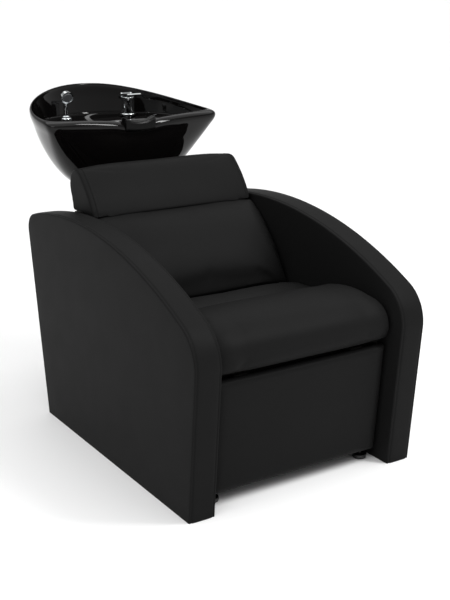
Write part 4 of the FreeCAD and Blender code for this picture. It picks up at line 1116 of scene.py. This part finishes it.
@dataclass
class PanelScrews:
    """Socket screws that hold the rear service panel. Lengths in millimetres."""

    across: tuple[float, ...] = (-255.0, 255.0)
    heights: tuple[float, ...] = (75.0, 290.0, 505.0)
    behind: float = 1500.0
    profile: tuple[tuple[float, float], ...] = (
        (4.6, -0.3), (4.8, 0.2), (4.8, 1.0), (4.4, 1.9), (3.6, 2.5), (2.6, 2.6))
    socket: float = 2.2
    socket_heights: tuple[float, float] = (2.6, 0.9)
    segments: int = 24

    def rings(self) -> Iterable[Ring]:
        """Yield the head's rings from the panel up and down into its six-sided socket."""
        turns = [2 * math.pi * index / self.segments for index in range(self.segments)]
        for radius, height in self.profile:
            yield [Vector((radius * math.cos(t), radius * math.sin(t), height)) * MM for t in turns]
        sixth = math.pi / 3
        flats = [self.socket * math.cos(sixth / 2) / math.cos(t % sixth - sixth / 2) for t in turns]
        for height in self.socket_heights:
            yield [Vector((r * math.cos(t), r * math.sin(t), height)) * MM for r, t in zip(flats, turns)]

    def build(self, panel: Object) -> None:
        """Set the screws on the panel's outer face, all as one piece.

        Args:
            panel: The panel's solid.
        """
        form = bmesh.new()
        for x in self.across:
            for height in self.heights:
                _, place, normal, _ = panel.ray_cast(spot(x, self.behind, height), Vector((0, -1, 0)))
                head = skin(self.rings())
                turn = normal.to_track_quat("Z", "Y").to_matrix().to_4x4()
                bmesh.ops.transform(head, matrix=Matrix.Translation(place) @ turn, verts=head.verts)
                mesh = stored(head, bpy.data.meshes.new("screw"))
                form.from_mesh(mesh)
                bpy.data.meshes.remove(mesh)
        make_piece("rear_panel_screws", form, ZINC, "chair", sharp=30)


@dataclass(frozen=True)
class SoftBox:
    """A rectangular lamp. Lengths in metres, power in watts."""

    name: str
    place: tuple[float, float, float]
    size: tuple[float, float]
    power: float


@dataclass
class Studio:
    """Pale floor, soft light and the camera. Lengths in metres, those in the camera in millimetres."""

    eye: tuple[float, float, float] = (-1.55, -2.6606, 1.29)
    forward: tuple[float, float, float] = (0.515, 0.806, -0.292)
    lens: float = 65.4
    sensor: float = 36.0
    floor_radius: float = 60.0
    floor_drop: float = 0.0005
    floor_colour: str = "#f7f7f7"
    floor_rough: float = 0.9
    floor_specular: float = 0.1
    room: float = 0.34
    horizon: float = 1.0
    fade: float = 0.3
    ceiling: float = 2.35
    ceiling_spread: float = 110.0
    boxes: tuple[SoftBox, ...] = (
        SoftBox("key", (-2.6, -1.6, 2.6), (2.2, 1.4), 24.0),
        SoftBox("strip", (0.95, -1.5, 2.3), (0.22, 1.8), 34.0),
    )
    target: tuple[float, float, float] = (0.0, 0.1, 0.5)

    def build(self) -> None:
        """Set up the floor, the light and the camera."""
        self.lay_floor()
        self.light()
        self.aim()
        bpy.context.scene.view_settings.view_transform = "Standard"

    def lay_floor(self) -> None:
        """Lay a round pale floor."""
        form = bmesh.new()
        bmesh.ops.create_circle(form, segments=64, radius=self.floor_radius, cap_ends=True)
        bmesh.ops.translate(form, verts=form.verts, vec=(0, 0, -self.floor_drop))
        mesh = stored(form, bpy.data.meshes.new("floor"))
        material = bpy.data.materials.new("pale_floor")
        material.use_nodes = True
        shader = material.node_tree.nodes["Principled BSDF"]
        shader.inputs["Base Color"].default_value = linear(self.floor_colour)
        shader.inputs["Roughness"].default_value = self.floor_rough
        shader.inputs["Specular IOR Level"].default_value = self.floor_specular
        mesh.materials.append(material)
        floor = add_object("floor", mesh)

    def light(self) -> None:
        """Light the floor evenly from above and hang soft boxes in a room that pales toward the floor."""
        world = bpy.data.worlds.new("pale_room")
        world.use_nodes = True
        tree = world.node_tree
        background = tree.nodes["Background"]
        background.inputs["Color"].default_value = linear("#ffffff")
        direction = add_node(tree, "ShaderNodeTexCoord").outputs["Generated"]
        height = add_node(tree, "ShaderNodeSeparateXYZ", links={"Vector": direction}).outputs["Z"]
        pale = add_node(tree, "ShaderNodeMapRange", {"interpolation_type": "SMOOTHSTEP"},
                        {"From Max": self.fade, "To Min": self.horizon, "To Max": self.room},
                        {"Value": height})
        tree.links.new(pale.outputs["Result"], background.inputs["Strength"])
        bpy.context.scene.world = world
        ceiling = bpy.data.lights.new("ceiling", "SUN")
        ceiling.energy = self.ceiling
        ceiling.angle = math.radians(self.ceiling_spread)
        add_object("ceiling", ceiling)
        for box in self.boxes:
            lamp = bpy.data.lights.new(box.name, "AREA")
            lamp.shape = "RECTANGLE"
            lamp.size, lamp.size_y = box.size
            lamp.energy = box.power
            aim = Vector(self.target) - Vector(box.place)
            turn = aim.to_track_quat("-Z", "Y").to_matrix().to_4x4()
            add_object(box.name, lamp).matrix_world = Matrix.Translation(box.place) @ turn

    def aim(self) -> None:
        """Put the camera where the photograph was taken."""
        camera = bpy.data.cameras.new("camera")
        camera.sensor_fit = "VERTICAL"
        camera.sensor_height = self.sensor
        camera.lens = self.lens
        forward = Vector(self.forward).normalized()
        right = forward.cross(Vector((0, 0, 1))).normalized()
        up = right.cross(forward)
        turn = Matrix((right, up, -forward)).transposed().to_4x4()
        viewer = add_object("camera", camera)
        viewer.matrix_world = Matrix.Translation(self.eye) @ turn
        bpy.context.scene.camera = viewer


FINISHES = {
    "black_leatherette": LEATHERETTE,
    "plywood_and_timber": TIMBER,
    # Near-black timber: partly the backing's own black, partly painted shade for the gaps between the
    # cushions.
    "black_stained_timber": BACKING_AND_SHADE_TIMBER,
    "black_painted_steel": POWDER_COAT,
    "zinc_plated_fasteners": ZINC,
    "black_laminate": LAMINATE,
    "black_nylon": NYLON,
    "black_rubber": RUBBER,
    "black_glazed_ceramic": GLAZE,
    "chrome_plate": CHROME,
    "brass": BRASS,
    "grey_plastic": SPRAY_PLASTIC,
}


def dress(record: dict, nodes: dict[str, Object]) -> None:
    """Give every solid the finish of its slot.

    Args:
        record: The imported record.
        nodes: The solids by name.
    """
    for part in record["subparts"]:
        materials = nodes[part["node"]].data.materials
        materials.clear()
        materials.append(FINISHES[part["material_slot"]].material())
        LOG.info("%s wears %s", part["node"], part["material_slot"])


def main() -> None:
    """Load the frame, set up the studio, dress the solids and build the arm covers, cushions, screws, basin
    and neck rest.
    """
    logging.basicConfig(level=logging.INFO, format="%(name)s: %(message)s")
    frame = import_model()
    Studio().build()
    dress(frame["record"], frame["nodes"])
    for name, side in SIDES.items():
        ArmCover(name, side).build()
    Upholstery().build(frame["nodes"])
    PanelScrews().build(frame["nodes"]["rear_panel"])
    basin = Basin()
    basin.build()
    NeckRest(basin).build()


if __name__ == "__main__":
    main()
